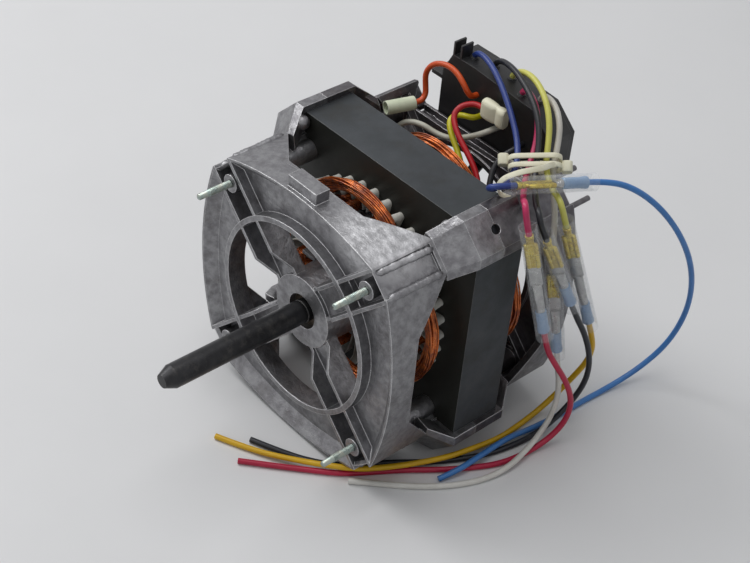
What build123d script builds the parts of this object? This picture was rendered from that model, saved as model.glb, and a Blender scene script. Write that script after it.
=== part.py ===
from build123d import *
import math
import os

# Washing machine motor, in millimetres. +Z is up, the shaft points along -Y.
# The origin is on the shaft axis, in the plane of the four front stud bosses.

# Shaft
SHAFT_DIA = 12.7
SHAFT_TIP_Y = -80.5
SHAFT_TIP_DIA = 7.4
SHAFT_TIP_TAPER = 6.0
SHAFT_CORE_DIA = 18.0
SHAFT_NECK_DIA = 11.8
SHAFT_NECK = 1.2
SHAFT_NECK_SET = 0.3
SHAFT_END_GAP = 1.5
RUNNING_GAP = 0.04

# Stator stack
STACK_FRONT = 52.5
STACK_LENGTH = 31.5
STACK_HALF = 73.6
STACK_CORNER = 12.3
STATOR_BORE_DIA = 82.0
SLOT_COUNT = 36
SLOT_WIDTH = 4.4
SLOT_MOUTH = 2.4
SLOT_ROOT_R = 56.0
SLOT_SHOULDER_R = 43.0
LINER_WALL = 0.35
LINER_GAP = 0.05
LINER_REACH = 4.5
STACK_REAR = STACK_FRONT + STACK_LENGTH

# Rotor
AIR_GAP = 0.4
CAGE_BARS = 28
CAGE_BAR_R = 2.3
CAGE_BAR_PITCH_R = 36.6
CAGE_RING = 6.0
CAGE_RING_IN = 27.0
CAGE_RING_OUT = 39.4
BLADES = 10
BLADE_HEIGHT = 8.0
BLADE_WALL = 1.8
BLADE_IN = 28.0
BLADE_OUT = 38.0
ROTOR_R = STATOR_BORE_DIA / 2 - AIR_GAP

# Through bolts, whose front ends are the mounting studs
STUD_SPACING = 105.0
BOLT_DIA = 4.17
BOLT_SHANK_DIA = 3.7
STUD_LENGTH = 20.0
STUD_POINT_DIA = 3.4
STUD_POINT = 7.0
BOLT_HOLE_GAP = 0.15
BOLT_HEAD_FLATS = 6.35
BOLT_HEAD = 3.0
STUD_R = STUD_SPACING / math.sqrt(2)

# End shields
RIM_HALF = 76.0
RIM_CORNER_NEAR = 55.0
RIM_CORNER_FAR = 67.0
SHIELD_WALL = 4.0
RIM_LAND = 1.2
DISH_DEPTH = 5.5
DISH_SLOPE = 6.0
WEB = 3.0
RING_R = 52.2
RING_WALL = 3.0
RING_PROUD = 0.6
RING_BACK = 10.5
RIB_WALL = 2.0
RIB_OFFSET = 8.3
RIB_BACK = 14.0
RIB_FLAT_R = 34.0
CHANNEL_FLOOR_Y = 9.0
CHANNEL_FLOOR = 2.5
BOSS_R = 5.0
POST_R = 6.0
POCKET_R = 8.4
HUB_R = 20.6
HUB_SET_BACK = 6.8
HUB_LIP_R = 10.0
HUB_LIP = 4.2
HUB_LENGTH = 23.2
CORNER_GROOVE = 1.8
CORNER_GROOVE_REACH = 36.0
WINDOW_HALF = 28.0
WINDOW_WIDE_HALF = 60.0
SIDE_WALL_DEPTH = 17.5
WINDOW_SLOPE_REACH = 43.0
WINDOW_EDGE_BEVEL = 2.2
LUG_OUT = 3.5
LUG_CUT = 2.0
LUG_WRAP = 16.6
LUG_FLARE = 14.0
LUG_SEAM = 0.4
SEAM_HOLE_R = 2.6
SEAM_HOLE = 30.0
KNOB_R = 4.0
KNOB_SET = 2.0
PAD_HALF = 10.5
PAD_PROUD = 6.0
PAD_FRONT_Y = 2.5
PAD_DEPTH = 8.5

# Rear shield
REAR_PLANE = 128.0
REAR_BAR_TOP = 57.5
REAR_BAR_HALF = 44.0
REAR_BAR_CORNER = 1.0
REAR_BAR_DEPTH = 9.5
REAR_RAIL_WALL = 1.5
REAR_GROOVE = 4.0
POST_DIA = 3.0
POST_REACH = 13.0

# Bearings, the same at both ends
BEARING_OUT_R = 11.0
BEARING = 13.0
FELT = 3.0
FELT_IN_R = 7.6
RETAINER = 1.8
RETAINER_IN_R = 9.0
WASHER = 1.6
WASHER_OUT_R = 10.5
WASHER_PLAY = 0.35

# Windings
MAIN_WIRE = 1.8
MAIN_OUTER_R = 56.6
MAIN_PITCH = 2.3
MAIN_LAYERS = 3
MAIN_INNER_SPAN = 30.0
MAIN_OUTER_SPAN = 40.0
MAIN_INNER_REACH = 10.5
MAIN_OUTER_REACH = 13.1
MAIN_BEND = 5.0
START_WIRE = 1.2
START_OUTER_R = 47.1
START_PITCH = 1.65
START_LAYERS = 2
START_INNER_SPAN = 25.0
START_OUTER_SPAN = 35.0
START_INNER_REACH = 9.0
START_OUTER_REACH = 11.2
START_BEND = 3.0
WINDING_END = 6.0

# Governor, carried on the rear of the rotor
BASE_PLATE = 2.0
BASE_R = 24.0
BASE_GAP = 1.0
EAR_WALL = 1.6
EAR_HALF_GAP = 4.3
PIN_R = 1.0
PIVOT_R = 15.0
PIVOT_REACH = 11.0
FINGER_REACH = 5.8
FINGER_BALL_R = 1.0
FINGER_WALL = 1.2
WEIGHT_HALF = 4.0
WEIGHT_LOW_R = 13.2
WEIGHT_HIGH_R = 19.5
WEIGHT_LENGTH = 9.0
GROOVE_GAP = 0.45
COLLAR_R = 7.9
COLLAR_FLANGE_R = 10.2
COLLAR_FRONT_FLANGE = 1.5
COLLAR_BODY = 4.5
THRUST_FLANGE = 2.0
THRUST_FLANGE_R = 20.0
SPRING_R = 8.6
SPRING_WIRE = 1.0
SPRING_CURLS = 3
LEVER_GAP = 0.3

# Start switch
SWITCH_WALL = 2.0
SWITCH_DEPTH = 16.0
SWITCH_COVER = 2.4
SWITCH_LEFT = -36.0
SWITCH_RIGHT = 44.0
SWITCH_FOOT_Z = 53.0
SWITCH_TOP_Z = 95.0
SWITCH_TOP_FALL = 3.0
SWITCH_SHOULDER_Z = 80.0
LEVER_WALL = 1.4
LEVER_HALF = 3.5
LEVER_PIVOT_Z = 50.0
LEVER_PIVOT_SET = 5.0
LEVER_PAD_Z = 16.0
LEVER_PAD_R = 1.5
LEVER_PIN_R = 1.2
LEVER_EAR_GAP = 0.3
LEVER_EAR = 2.0

GUSSET_WALL = 3.0
FRONT_OVERLAP = 13.5
REAR_SIDE_WALL = 15.0
REAR_SLOPE_REACH = 34.0
REAR_SET_BACK = 1.5
REAR_HUB_LENGTH = 16.0
REAR_HUB_LIP = 2.0
REAR_BEARING = 8.5
REAR_BAR_RISE = 12.5
FRONT_HUB_END = HUB_SET_BACK + HUB_LENGTH
REAR_HUB_END = REAR_PLANE - REAR_SET_BACK - REAR_HUB_LENGTH
SHAFT_END = REAR_PLANE - REAR_SET_BACK - SHAFT_END_GAP
SWITCH_STAND_OFF = 1.2
SWITCH_SCREW_X = 36.0
SWITCH_SCREW_Z = 50.0
SWITCH_BOSS_R = 4.0
SWITCH_SCREW_R = 1.75
SWITCH_SCREW_BITE = 8.0
SWITCH_TAB = 3.0
SWITCH_HEAD = 2.4
SWITCH_HEAD_R = 3.4
SWITCH_CORNER = 14.0
SWITCH_NOTCH = 6.0
SWITCH_PLATE = 2.4
SWITCH_PRONG = 8.0
GROMMET_R = 2.5
GROMMET = 0.9
TERMINAL_Z = 74.0
TERMINAL_X = (-24.0, -12.0, 12.0, 24.0)
LEVER_EAR_HALF = 3.0
LEVER_SLOT = 3.2
LEVER_TAB_Z = 66.0
CONTACT_REACH = 10.0
CONTACT_WIDTH = 5.0
CONTACT_STRIP = 0.8
CONTACT_BUTTON = 1.0
CONTACT_R = 1.6
CONTACT_GAP = 0.15
EAR_HALF = 2.5
FINGER_HALF = 1.5
COLLAR_BORE_GAP = 0.05
SPRING_END_GAP = 0.1

# Leads and the sleeved connectors that splice them
WIRE_DIA = 3.2
SPLICE_R = 4.6
SPLICE_WALL = 0.5
SPLICE_INSET = 5.15
CRIMP_R = 1.9
CRIMP = 5.0
RECEPTACLE = 16.0
RECEPTACLE_WIDTH = 7.0
RECEPTACLE_DEPTH = 2.6
RECEPTACLE_END = 1.0
BLADE_WIDTH = 6.35
BLADE = 0.8
BLADE_GAP = 0.06
BLADE_INSERT = 9.0
BARREL = 14.0
BARREL_R = 2.9
BARREL_NECK = 3.5
BARREL_LAP = 1.0
FLAT_SIDE = (0.71, 0.70, 0.0)

# Ties round the five leads, above the corner of the motor
TIE_CENTRE = (51.45, 110.7, 79.3)
TIE_ACROSS = (0.71, 0.685, 0.15)
TIE_ALONG = (0.55, -0.62, -0.56)
TIE_HALF = 12.4
TIE_HALF_DEPTH = 4.75
TIE_CORNER = 3.9
TIE_WALL = 1.2
TIE_WIDTH = 3.4
TIE_STEP = 4.6
TIE_HEAD = 5.4
TIE_HEAD_WIDTH = 4.2

# Overload protector in its sleeve, in the top left rear window
PROTECTOR_FRONT = (-44.0, 97.0, 66.0)
PROTECTOR_BACK = (-39.0, 113.0, 66.0)
PROTECTOR_R = 3.1
PROTECTOR_SLEEVE_R = 3.8
PROTECTOR_INSET = 2.5
PROTECTOR_STUB_R = 1.9

# Off-white sleeve on a tab of the switch, where the red lead ends
LEAD_SLEEVE_LEFT = 1.5
LEAD_SLEEVE_LENGTH = 16.0
LEAD_SLEEVE_LOW = 75.5
LEAD_SLEEVE_HEIGHT = 12.0
LEAD_SLEEVE_DEPTH = 6.4
LEAD_SLEEVE_STAND_OFF = 2.6
LEAD_SLEEVE_CORNER = 1.6
TAB_WIDTH = 6.35
TAB_WALL = 0.8
TAB_REACH = 6.5

DIAGONALS = (45.0, 135.0, 225.0, 315.0)


def at_y(y):
    """Plane facing the front of the motor, with local x along X and local y along Z."""
    return Plane(origin=(0, y, 0), x_dir=(1, 0, 0), z_dir=(0, -1, 0))


def slab(shape, y0, y1):
    """Extrude a flat shape drawn in X and Z from y0 to y1."""
    return extrude(at_y(y0) * shape, amount=y1 - y0, dir=(0, 1, 0))


def rod(radius, y0, y1, x=0.0, z=0.0):
    return Pos(x, (y0 + y1) / 2, z) * Rot(90, 0, 0) * Cylinder(radius, y1 - y0)


def sleeve(r_out, r_in, y0, y1):
    return rod(r_out, y0, y1) - rod(r_in, y0 - 1, y1 + 1)


def block(x0, x1, y0, y1, z0, z1):
    centre = ((x0 + x1) / 2, (y0 + y1) / 2, (z0 + z1) / 2)
    return Pos(*centre) * Box(x1 - x0, y1 - y0, z1 - z0)


def around(shape, angle):
    """Turn a shape drawn along +X to the direction angle, counted from +X towards +Z."""
    return Rot(0, -angle, 0) * shape


def polygon(points):
    return make_face(Polyline(*points, close=True))


def radial_plate(points, angle, offset_v, wall):
    """Plate standing along one diagonal, from points of radius and Y."""
    across = Vector(-math.sin(math.radians(angle)), 0, math.cos(math.radians(angle)))
    along = Vector(math.cos(math.radians(angle)), 0, math.sin(math.radians(angle)))
    plane = Plane(origin=across * offset_v, x_dir=along, z_dir=across)
    return extrude(plane * polygon(points), amount=wall / 2, both=True)


def rim_outline(inset=0.0):
    """Square outline with bulged sides and cut corners, moved inwards by inset."""
    near, far, half = RIM_CORNER_NEAR, RIM_CORNER_FAR, RIM_HALF
    edges = [
        ThreePointArc((-near, far), (0, half), (near, far)),
        Line((near, far), (far, near)),
        ThreePointArc((far, near), (half, 0), (far, -near)),
        Line((far, -near), (near, -far)),
        ThreePointArc((near, -far), (0, -half), (-near, -far)),
        Line((-near, -far), (-far, -near)),
        ThreePointArc((-far, -near), (-half, 0), (-far, near)),
        Line((-far, near), (-near, far)),
    ]
    face = make_face(edges)
    if inset:
        face = offset(face, amount=-inset, kind=Kind.INTERSECTION)
    return face


def stack_outline(grow=0.0):
    """Square lamination with cut corners."""
    half = STACK_HALF + grow
    near = STACK_HALF - STACK_CORNER + grow * math.tan(math.radians(22.5))
    corners = []
    for turn in range(4):
        for a, b in ((near, half), (half, near)):
            x, z = a, b
            for _ in range(turn):
                x, z = z, -x
            corners.append((x, z))
    return polygon(corners)


def lug_section():
    """Corner polygon in the +X +Z quadrant, round the corner of the stack."""
    scale_out = STACK_HALF + LUG_OUT
    side = STACK_HALF - LUG_WRAP
    near = scale_out - STACK_CORNER - LUG_CUT
    return polygon([
        (side, side + 3.0),
        (side, scale_out),
        (near, scale_out),
        (scale_out, near),
        (scale_out, side),
        (side + 3.0, side),
    ])


def leg_section():
    """Corner polygon of a leg, just inside the rim outline."""
    near, far = RIM_CORNER_NEAR, RIM_CORNER_FAR
    return polygon([
        (near - 7.0, near + 5.0),
        (near - 5.0, far + 1.0),
        (near, far),
        (far, near),
        (far + 1.0, near - 5.0),
        (near + 5.0, near - 7.0),
    ])


def end_shield(depth, overlap, side_wall, slope_reach, set_back, hub_length, hub_lip):
    """Shield shared by both ends: rim, dish, ring, spokes, hub, legs and lugs.

    It is drawn as the front shield, with its stud bosses at y = 0 and the stack at
    depth. The rear shield is the same casting with its own depths, turned round.
    """
    lug_end = depth + overlap
    hub_end = set_back + hub_length
    body = slab(rim_outline(), 0, depth)
    dish_top = at_y(0) * rim_outline(RIM_LAND)
    dish_floor = at_y(DISH_DEPTH) * rim_outline(RIM_LAND + DISH_SLOPE)
    body -= loft([dish_top.face(), dish_floor.face()], ruled=True)
    body -= slab(rim_outline(SHIELD_WALL), DISH_DEPTH + WEB, depth + 1)
    body -= rod(RING_R, -1, depth)
    body += sleeve(RING_R + RING_WALL, RING_R, -RING_PROUD, RING_BACK)

    # Windows between the legs
    plan = [
        (-WINDOW_WIDE_HALF, depth + 1),
        (-WINDOW_WIDE_HALF, slope_reach),
        (-WINDOW_HALF, side_wall),
        (WINDOW_HALF, side_wall),
        (WINDOW_WIDE_HALF, slope_reach),
        (WINDOW_WIDE_HALF, depth + 1),
    ]
    window_low = RIM_CORNER_FAR - SHIELD_WALL - 2.0
    window = Pos(0, 0, window_low) * extrude(polygon(plan), amount=RIM_HALF)
    bevel_plan = offset(polygon(plan), amount=WINDOW_EDGE_BEVEL, kind=Kind.INTERSECTION)
    bevel_low = RIM_HALF - WINDOW_EDGE_BEVEL
    window += Pos(0, 0, bevel_low) * extrude(bevel_plan, amount=RIM_HALF)
    for turn in (0, 90, 180, 270):
        body -= around(window, turn)

    # Spokes: two ribs and a floor along each diagonal
    corner_r = (RIM_CORNER_NEAR + RIM_CORNER_FAR) / math.sqrt(2)
    clip = slab(rim_outline(0.05), -RING_PROUD, RIB_BACK)
    rib_points = [
        (corner_r + 1.0, 0),
        (RIB_FLAT_R, 0),
        (HUB_R + 1.4, set_back + 0.7),
        (HUB_R - 2.0, set_back + 0.7),
        (HUB_R - 2.0, RIB_BACK),
        (corner_r + 1.0, RIB_BACK),
    ]
    floor_points = [
        (HUB_R - 2.0, CHANNEL_FLOOR_Y),
        (STUD_R, CHANNEL_FLOOR_Y),
        (STUD_R, CHANNEL_FLOOR_Y + CHANNEL_FLOOR),
        (HUB_R - 2.0, CHANNEL_FLOOR_Y + CHANNEL_FLOOR),
    ]
    clear_points = [
        (RING_R + RING_WALL, -1),
        (corner_r - CORNER_GROOVE - 1.8, -1),
        (corner_r - CORNER_GROOVE - 1.8, RIB_BACK),
        (RING_R + RING_WALL, RIB_BACK),
    ]
    for angle in DIAGONALS:
        body -= radial_plate(clear_points, angle, 0, 2 * RIB_OFFSET)
        for side in (-RIB_OFFSET, RIB_OFFSET):
            body += radial_plate(rib_points, angle, side, RIB_WALL) & clip
        body += radial_plate(floor_points, angle, 0, 2 * RIB_OFFSET)

    # Bosses and posts for the through bolts, each tied to its corner by a gusset
    half = STUD_SPACING / 2
    gusset_points = [
        (STUD_R, RIB_BACK),
        (corner_r - 1.0, RIB_BACK),
        (corner_r - 1.0, depth),
        (STUD_R, depth),
    ]
    for x in (-half, half):
        for z in (-half, half):
            body += rod(POCKET_R, CHANNEL_FLOOR_Y, RIB_BACK, x, z) & clip
            body += rod(BOSS_R, 0, RIB_BACK, x, z)
            body += rod(POST_R, RIB_BACK, depth, x, z)
    for angle in DIAGONALS:
        body += radial_plate(gusset_points, angle, 0, GUSSET_WALL)

    # Corner lugs that flare out and wrap the corners of the stack
    flare_start = depth - LUG_FLARE
    flare_end = depth - LUG_FLARE / 7
    lug = loft([
        (at_y(flare_start) * leg_section()).face(),
        (at_y(flare_end) * lug_section()).face(),
    ], ruled=True)
    lug += slab(lug_section(), flare_end, lug_end)
    lug -= slab(stack_outline(), depth, lug_end + 1)
    for turn in (0, 90, 180, 270):
        body += around(lug, turn)

    # Grooves down the corners, between the two ridges
    groove_points = [
        (corner_r - CORNER_GROOVE, -1),
        (corner_r + 4, -1),
        (corner_r + 4, CORNER_GROOVE_REACH),
        (corner_r - CORNER_GROOVE, CORNER_GROOVE_REACH),
    ]
    for angle in DIAGONALS:
        body -= radial_plate(groove_points, angle, 0, 2 * RIB_OFFSET - RIB_WALL)

    # Hub with its bearing seat
    body += rod(HUB_R, set_back, hub_end)
    body -= rod(HUB_LIP_R, set_back - 1, set_back + hub_lip + 1)
    body -= rod(BEARING_OUT_R, set_back + hub_lip, hub_end + 1)

    # Bolt holes and the small round hole across each lug seam
    for x in (-half, half):
        for z in (-half, half):
            body -= rod(BOLT_DIA / 2 + BOLT_HOLE_GAP, -2, depth + 1, x, z)
    seam_r = (2 * STACK_HALF - STACK_CORNER) / math.sqrt(2)
    for angle in DIAGONALS:
        hole = Pos(seam_r, lug_end, 0) * Rot(0, 90, 0) * Cylinder(SEAM_HOLE_R, SEAM_HOLE)
        body -= around(hole, angle)
    return body


def front_shield():
    body = end_shield(
        STACK_FRONT, FRONT_OVERLAP, SIDE_WALL_DEPTH, WINDOW_SLOPE_REACH,
        HUB_SET_BACK, HUB_LENGTH, HUB_LIP,
    )
    pad_low = RIM_HALF - SHIELD_WALL / 2
    pad_back = PAD_FRONT_Y + PAD_DEPTH
    body += block(-PAD_HALF, PAD_HALF, PAD_FRONT_Y, pad_back, pad_low,
                  RIM_HALF + PAD_PROUD)
    knob_x = STACK_HALF - LUG_WRAP - KNOB_SET
    for x in (-knob_x, knob_x):
        knob = Pos(x, STACK_FRONT - KNOB_R, STACK_HALF - KNOB_R) * Sphere(KNOB_R)
        body += knob
    return body


def turned_round(shape):
    """Move a shape drawn from y = 0 so that it faces the back from the rear plane."""
    return Pos(0, REAR_PLANE, 0) * Rot(0, 0, 180) * shape


def rear_shield():
    overlap = STACK_LENGTH - FRONT_OVERLAP - LUG_SEAM
    body = end_shield(
        REAR_PLANE - STACK_REAR, overlap, REAR_SIDE_WALL, REAR_SLOPE_REACH,
        REAR_SET_BACK, REAR_HUB_LENGTH, REAR_HUB_LIP,
    )
    body = turned_round(body)
    spread = RIM_CORNER_NEAR - REAR_BAR_CORNER
    above = 2 * RIM_HALF
    opening = polygon([
        (-spread, above),
        (-spread, REAR_BAR_TOP + REAR_BAR_RISE),
        (-REAR_BAR_HALF, REAR_BAR_TOP),
        (REAR_BAR_HALF, REAR_BAR_TOP),
        (spread, REAR_BAR_TOP + REAR_BAR_RISE),
        (spread, above),
    ])
    body -= slab(opening, STACK_REAR, REAR_PLANE + 2)

    # Channel-shaped bar across the top, above the ring
    bar_y = REAR_PLANE - REAR_BAR_DEPTH
    bar = block(-REAR_BAR_HALF, REAR_BAR_HALF, bar_y, REAR_PLANE,
                REAR_BAR_TOP - REAR_BAR_DEPTH, REAR_BAR_TOP)
    bar -= rod(RING_R, bar_y - 1, REAR_PLANE + 1)
    body += bar
    body -= block(-REAR_BAR_HALF, REAR_BAR_HALF, bar_y + REAR_RAIL_WALL,
                  REAR_PLANE - REAR_RAIL_WALL, REAR_BAR_TOP - REAR_GROOVE, REAR_BAR_TOP + 1)

    # Bosses that carry the start switch, and the two posts for the leads
    boss_end = REAR_PLANE + SWITCH_STAND_OFF
    for x in (-SWITCH_SCREW_X, SWITCH_SCREW_X):
        body += rod(SWITCH_BOSS_R, bar_y, boss_end, x, SWITCH_SCREW_Z)
        body -= rod(SWITCH_SCREW_R, boss_end - SWITCH_SCREW_BITE, boss_end + 1, x, SWITCH_SCREW_Z)
    for x, z in ((RIM_CORNER_NEAR, RIM_CORNER_FAR), (RIM_CORNER_FAR, RIM_CORNER_NEAR)):
        inward = POST_DIA / 2 + 0.2
        body += rod(POST_DIA / 2, REAR_PLANE - DISH_DEPTH, REAR_PLANE + POST_REACH,
                    x - inward, z - inward)
    return body


def slot_profile(inset):
    """One slot along +X: parallel sides, a round root and an open mouth to the bore."""
    half = SLOT_WIDTH / 2 - inset
    low = SLOT_SHOULDER_R
    edges = [
        Line((low, -half), (SLOT_ROOT_R, -half)),
        ThreePointArc((SLOT_ROOT_R, -half), (SLOT_ROOT_R + half, 0), (SLOT_ROOT_R, half)),
        Line((SLOT_ROOT_R, half), (low, half)),
        Line((low, half), (low, -half)),
    ]
    return make_face(edges)


def stator_core():
    bore_r = STATOR_BORE_DIA / 2
    outline = stack_outline() - Circle(bore_r)
    slot = slot_profile(0)
    slot += Pos(SLOT_SHOULDER_R - 2, 0) * Rectangle(6, SLOT_MOUTH)
    cut = slab(slot, STACK_FRONT - 1, STACK_REAR + 1)
    body = slab(outline, STACK_FRONT, STACK_REAR)
    cuts = [around(cut, 360 / SLOT_COUNT * i) for i in range(SLOT_COUNT)]
    half = STUD_SPACING / 2
    for x in (-half, half):
        for z in (-half, half):
            cuts.append(rod(BOLT_DIA / 2 + BOLT_HOLE_GAP, STACK_FRONT - 1, STACK_REAR + 1, x, z))
    return body - cuts


def slot_liners():
    outer = slot_profile(LINER_GAP)
    inner = slot_profile(LINER_GAP + LINER_WALL)
    liner = slab(outer - inner, STACK_FRONT - LINER_REACH, STACK_REAR + LINER_REACH)
    return Compound([around(liner, 360 / SLOT_COUNT * i) for i in range(SLOT_COUNT)])


def rotor_core():
    body = rod(ROTOR_R, STACK_FRONT, STACK_REAR) - rod(SHAFT_CORE_DIA / 2, STACK_FRONT - 1, STACK_REAR + 1)
    bar = Pos(CAGE_BAR_PITCH_R, 0, 0) * rod(CAGE_BAR_R, STACK_FRONT - 1, STACK_REAR + 1)
    return body - [around(bar, 360 / CAGE_BARS * i) for i in range(CAGE_BARS)]


def rotor_cage():
    bar = Pos(CAGE_BAR_PITCH_R, 0, 0) * rod(CAGE_BAR_R, STACK_FRONT, STACK_REAR)
    pieces = [around(bar, 360 / CAGE_BARS * i) for i in range(CAGE_BARS)]
    body = sleeve(CAGE_RING_OUT, CAGE_RING_IN, STACK_FRONT - CAGE_RING, STACK_FRONT)
    body += sleeve(CAGE_RING_OUT, CAGE_RING_IN, STACK_REAR, STACK_REAR + CAGE_RING)
    front = STACK_FRONT - CAGE_RING
    rear = STACK_REAR + CAGE_RING
    blade = block(BLADE_IN, BLADE_OUT, front - BLADE_HEIGHT, front, -BLADE_WALL / 2, BLADE_WALL / 2)
    blade += block(BLADE_IN, BLADE_OUT, rear, rear + BLADE_HEIGHT, -BLADE_WALL / 2, BLADE_WALL / 2)
    pieces += [around(blade, 360 / BLADES * i) for i in range(BLADES)]
    return body + pieces


def shaft():
    r = SHAFT_DIA / 2
    shoulder = FRONT_HUB_END + WASHER_PLAY + WASHER
    tip = Cone(SHAFT_TIP_DIA / 2, r, SHAFT_TIP_TAPER)
    body = Pos(0, SHAFT_TIP_Y + SHAFT_TIP_TAPER / 2, 0) * Rot(-90, 0, 0) * tip
    body += rod(r, SHAFT_TIP_Y + SHAFT_TIP_TAPER, SHAFT_END)
    body += rod(SHAFT_CORE_DIA / 2, shoulder, STACK_REAR)
    neck_end = HUB_SET_BACK - SHAFT_NECK_SET
    body -= sleeve(r + 1, SHAFT_NECK_DIA / 2, neck_end - SHAFT_NECK, neck_end)
    return body


def bearing_set(seat_y, direction, length):
    """Bearing, felt wick and retainer pressed into a hub, from the seat inwards."""
    def span(a, b):
        ends = sorted((seat_y + direction * a, seat_y + direction * b))
        return ends[0], ends[1]

    bore = SHAFT_DIA / 2 + RUNNING_GAP
    y0, y1 = span(0, length)
    bearing = sleeve(BEARING_OUT_R, bore, y0, y1)
    y0, y1 = span(length, length + FELT)
    felt = sleeve(BEARING_OUT_R, FELT_IN_R, y0, y1)
    y0, y1 = span(length + FELT, length + FELT + RETAINER)
    retainer = sleeve(BEARING_OUT_R, RETAINER_IN_R, y0, y1)
    return bearing, felt, retainer


def thrust_washer(y0):
    return sleeve(WASHER_OUT_R, SHAFT_DIA / 2, y0, y0 + WASHER)


def hexagon(across_flats):
    return RegularPolygon(across_flats / 2, 6, major_radius=False)


def through_bolts():
    """Four bolts from the rear shield to the front, each with its stud end."""
    half = STUD_SPACING / 2
    bolts = []
    for x in (-half, half):
        for z in (-half, half):
            bolt = rod(BOLT_SHANK_DIA / 2, 0, REAR_PLANE, x, z)
            bolt += rod(BOLT_DIA / 2, STUD_POINT - STUD_LENGTH, 0, x, z)
            bolt += rod(STUD_POINT_DIA / 2, -STUD_LENGTH, STUD_POINT - STUD_LENGTH, x, z)
            head = slab(Pos(x, z) * hexagon(BOLT_HEAD_FLATS), REAR_PLANE, REAR_PLANE + BOLT_HEAD)
            bolts.append(bolt + head)
    return Compound(bolts)


# Windings: each coil is one wire, wound in slots on both sides of its pole
def biarc(p0, t0, p1, t1, y):
    """Two arcs in a plane across the shaft, from p0 along t0 to p1 along t1."""
    vx, vz = p1[0] - p0[0], p1[1] - p0[1]
    tx, tz = t0[0] + t1[0], t0[1] + t1[1]
    a = 2 * (1 - t0[0] * t1[0] - t0[1] * t1[1])
    b = vx * tx + vz * tz
    d = (math.sqrt(b * b + a * (vx * vx + vz * vz)) - b) / a
    mx = (p0[0] + p1[0] + d * (t0[0] - t1[0])) / 2
    mz = (p0[1] + p1[1] + d * (t0[1] - t1[1])) / 2
    middle = (mx, y, mz)
    first = TangentArc((p0[0], y, p0[1]), middle, tangent=(t0[0], 0, t0[1]))
    second = TangentArc((p1[0], y, p1[1]), middle, tangent=(-t1[0], 0, -t1[1]))
    return [first, second]


def coil_route(turns, bend):
    """Edges of one coil about the +Z pole, from its list of (span, radius, reach)."""
    def side(span, radius, sign):
        a = math.radians(span)
        return (sign * radius * math.sin(a), radius * math.cos(a))

    def inward(span, sign):
        a = math.radians(span)
        return (-sign * math.cos(a), math.sin(a))

    def corner(foot, direction, y_foot, away):
        k = 1 - math.cos(math.radians(45))
        top = (foot[0] + bend * direction[0], foot[1] + bend * direction[1])
        near = (foot[0] + bend * k * direction[0], foot[1] + bend * k * direction[1])
        y_near = y_foot + away * bend * math.sin(math.radians(45))
        y_top = y_foot + away * bend
        arc = ThreePointArc((foot[0], y_foot, foot[1]), (near[0], y_near, near[1]),
                            (top[0], y_top, top[1]))
        return arc, top

    edges = []
    end_y = STACK_REAR + WINDING_END
    start_y = end_y
    for i, (span, radius, reach) in enumerate(turns):
        front_foot = STACK_FRONT - reach + bend
        left = side(span, radius, -1)
        right = side(span, radius, 1)
        edges.append(Line((left[0], start_y, left[1]), (left[0], front_foot, left[1])))
        left_bend, left_top = corner(left, inward(span, -1), front_foot, -1)
        right_bend, right_top = corner(right, inward(span, 1), front_foot, -1)
        plane_y = front_foot - bend
        edges.append(left_bend)
        middle = (0, plane_y, radius + bend * math.tan(math.radians(span / 2)))
        edges.append(ThreePointArc((left_top[0], plane_y, left_top[1]), middle,
                                   (right_top[0], plane_y, right_top[1])))
        edges.append(right_bend)
        if i == len(turns) - 1:
            edges.append(Line((right[0], front_foot, right[1]), (right[0], end_y, right[1])))
            continue
        next_span, next_radius, _ = turns[i + 1]
        rear_foot = STACK_REAR + reach - bend
        edges.append(Line((right[0], front_foot, right[1]), (right[0], rear_foot, right[1])))
        back_bend, back_top = corner(right, inward(span, 1), rear_foot, 1)
        next_left = side(next_span, next_radius, -1)
        next_bend, next_top = corner(next_left, inward(next_span, -1), rear_foot, 1)
        plane_y = rear_foot + bend
        heading = inward(span, 1)
        ahead = inward(next_span, -1)
        edges.append(back_bend)
        edges += biarc(back_top, heading, next_top, (-ahead[0], -ahead[1]), plane_y)
        edges.append(next_bend)
        start_y = rear_foot
    return edges


def least_gap(path, wire):
    """Least gap of a wire to itself, leaving out the stretch beside each point."""
    count = int(path.length / (0.6 * wire))
    points = [tuple(path.position_at(i / count)) for i in range(count + 1)]
    skip = int(4 * wire * count / path.length) + 1
    least = path.length
    for i in range(len(points) - skip):
        for j in range(i + skip, len(points)):
            least = min(least, math.dist(points[i], points[j]))
    return least - wire


def winding(label, turns, bend, wire, angles):
    path = Wire(coil_route(turns, bend))
    print(label, "loops", len(turns), "least gap", round(least_gap(path, wire), 2))
    start = Plane(origin=path @ 0, z_dir=path % 0)
    coil = sweep(start * Circle(wire / 2), path=path)
    return Compound([around(coil, angle - 90) for angle in angles])


def coil_turns(outer_r, pitch, layers, outer_span, outer_reach, inner_span, inner_reach):
    """Wide turns from the outside in, then narrow ones, which start one layer further in."""
    turns = [(outer_span, outer_r - i * pitch, outer_reach) for i in range(layers)]
    turns += [(inner_span, outer_r - (layers - i) * pitch, inner_reach) for i in range(layers)]
    return turns


def main_winding():
    turns = coil_turns(MAIN_OUTER_R, MAIN_PITCH, MAIN_LAYERS, MAIN_OUTER_SPAN, MAIN_OUTER_REACH,
                       MAIN_INNER_SPAN, MAIN_INNER_REACH)
    return winding("main winding", turns, MAIN_BEND, MAIN_WIRE, (0, 90, 180, 270))


def start_winding():
    turns = coil_turns(START_OUTER_R, START_PITCH, START_LAYERS, START_OUTER_SPAN,
                       START_OUTER_REACH, START_INNER_SPAN, START_INNER_REACH)
    return winding("start winding", turns, START_BEND, START_WIRE, DIAGONALS)


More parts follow.
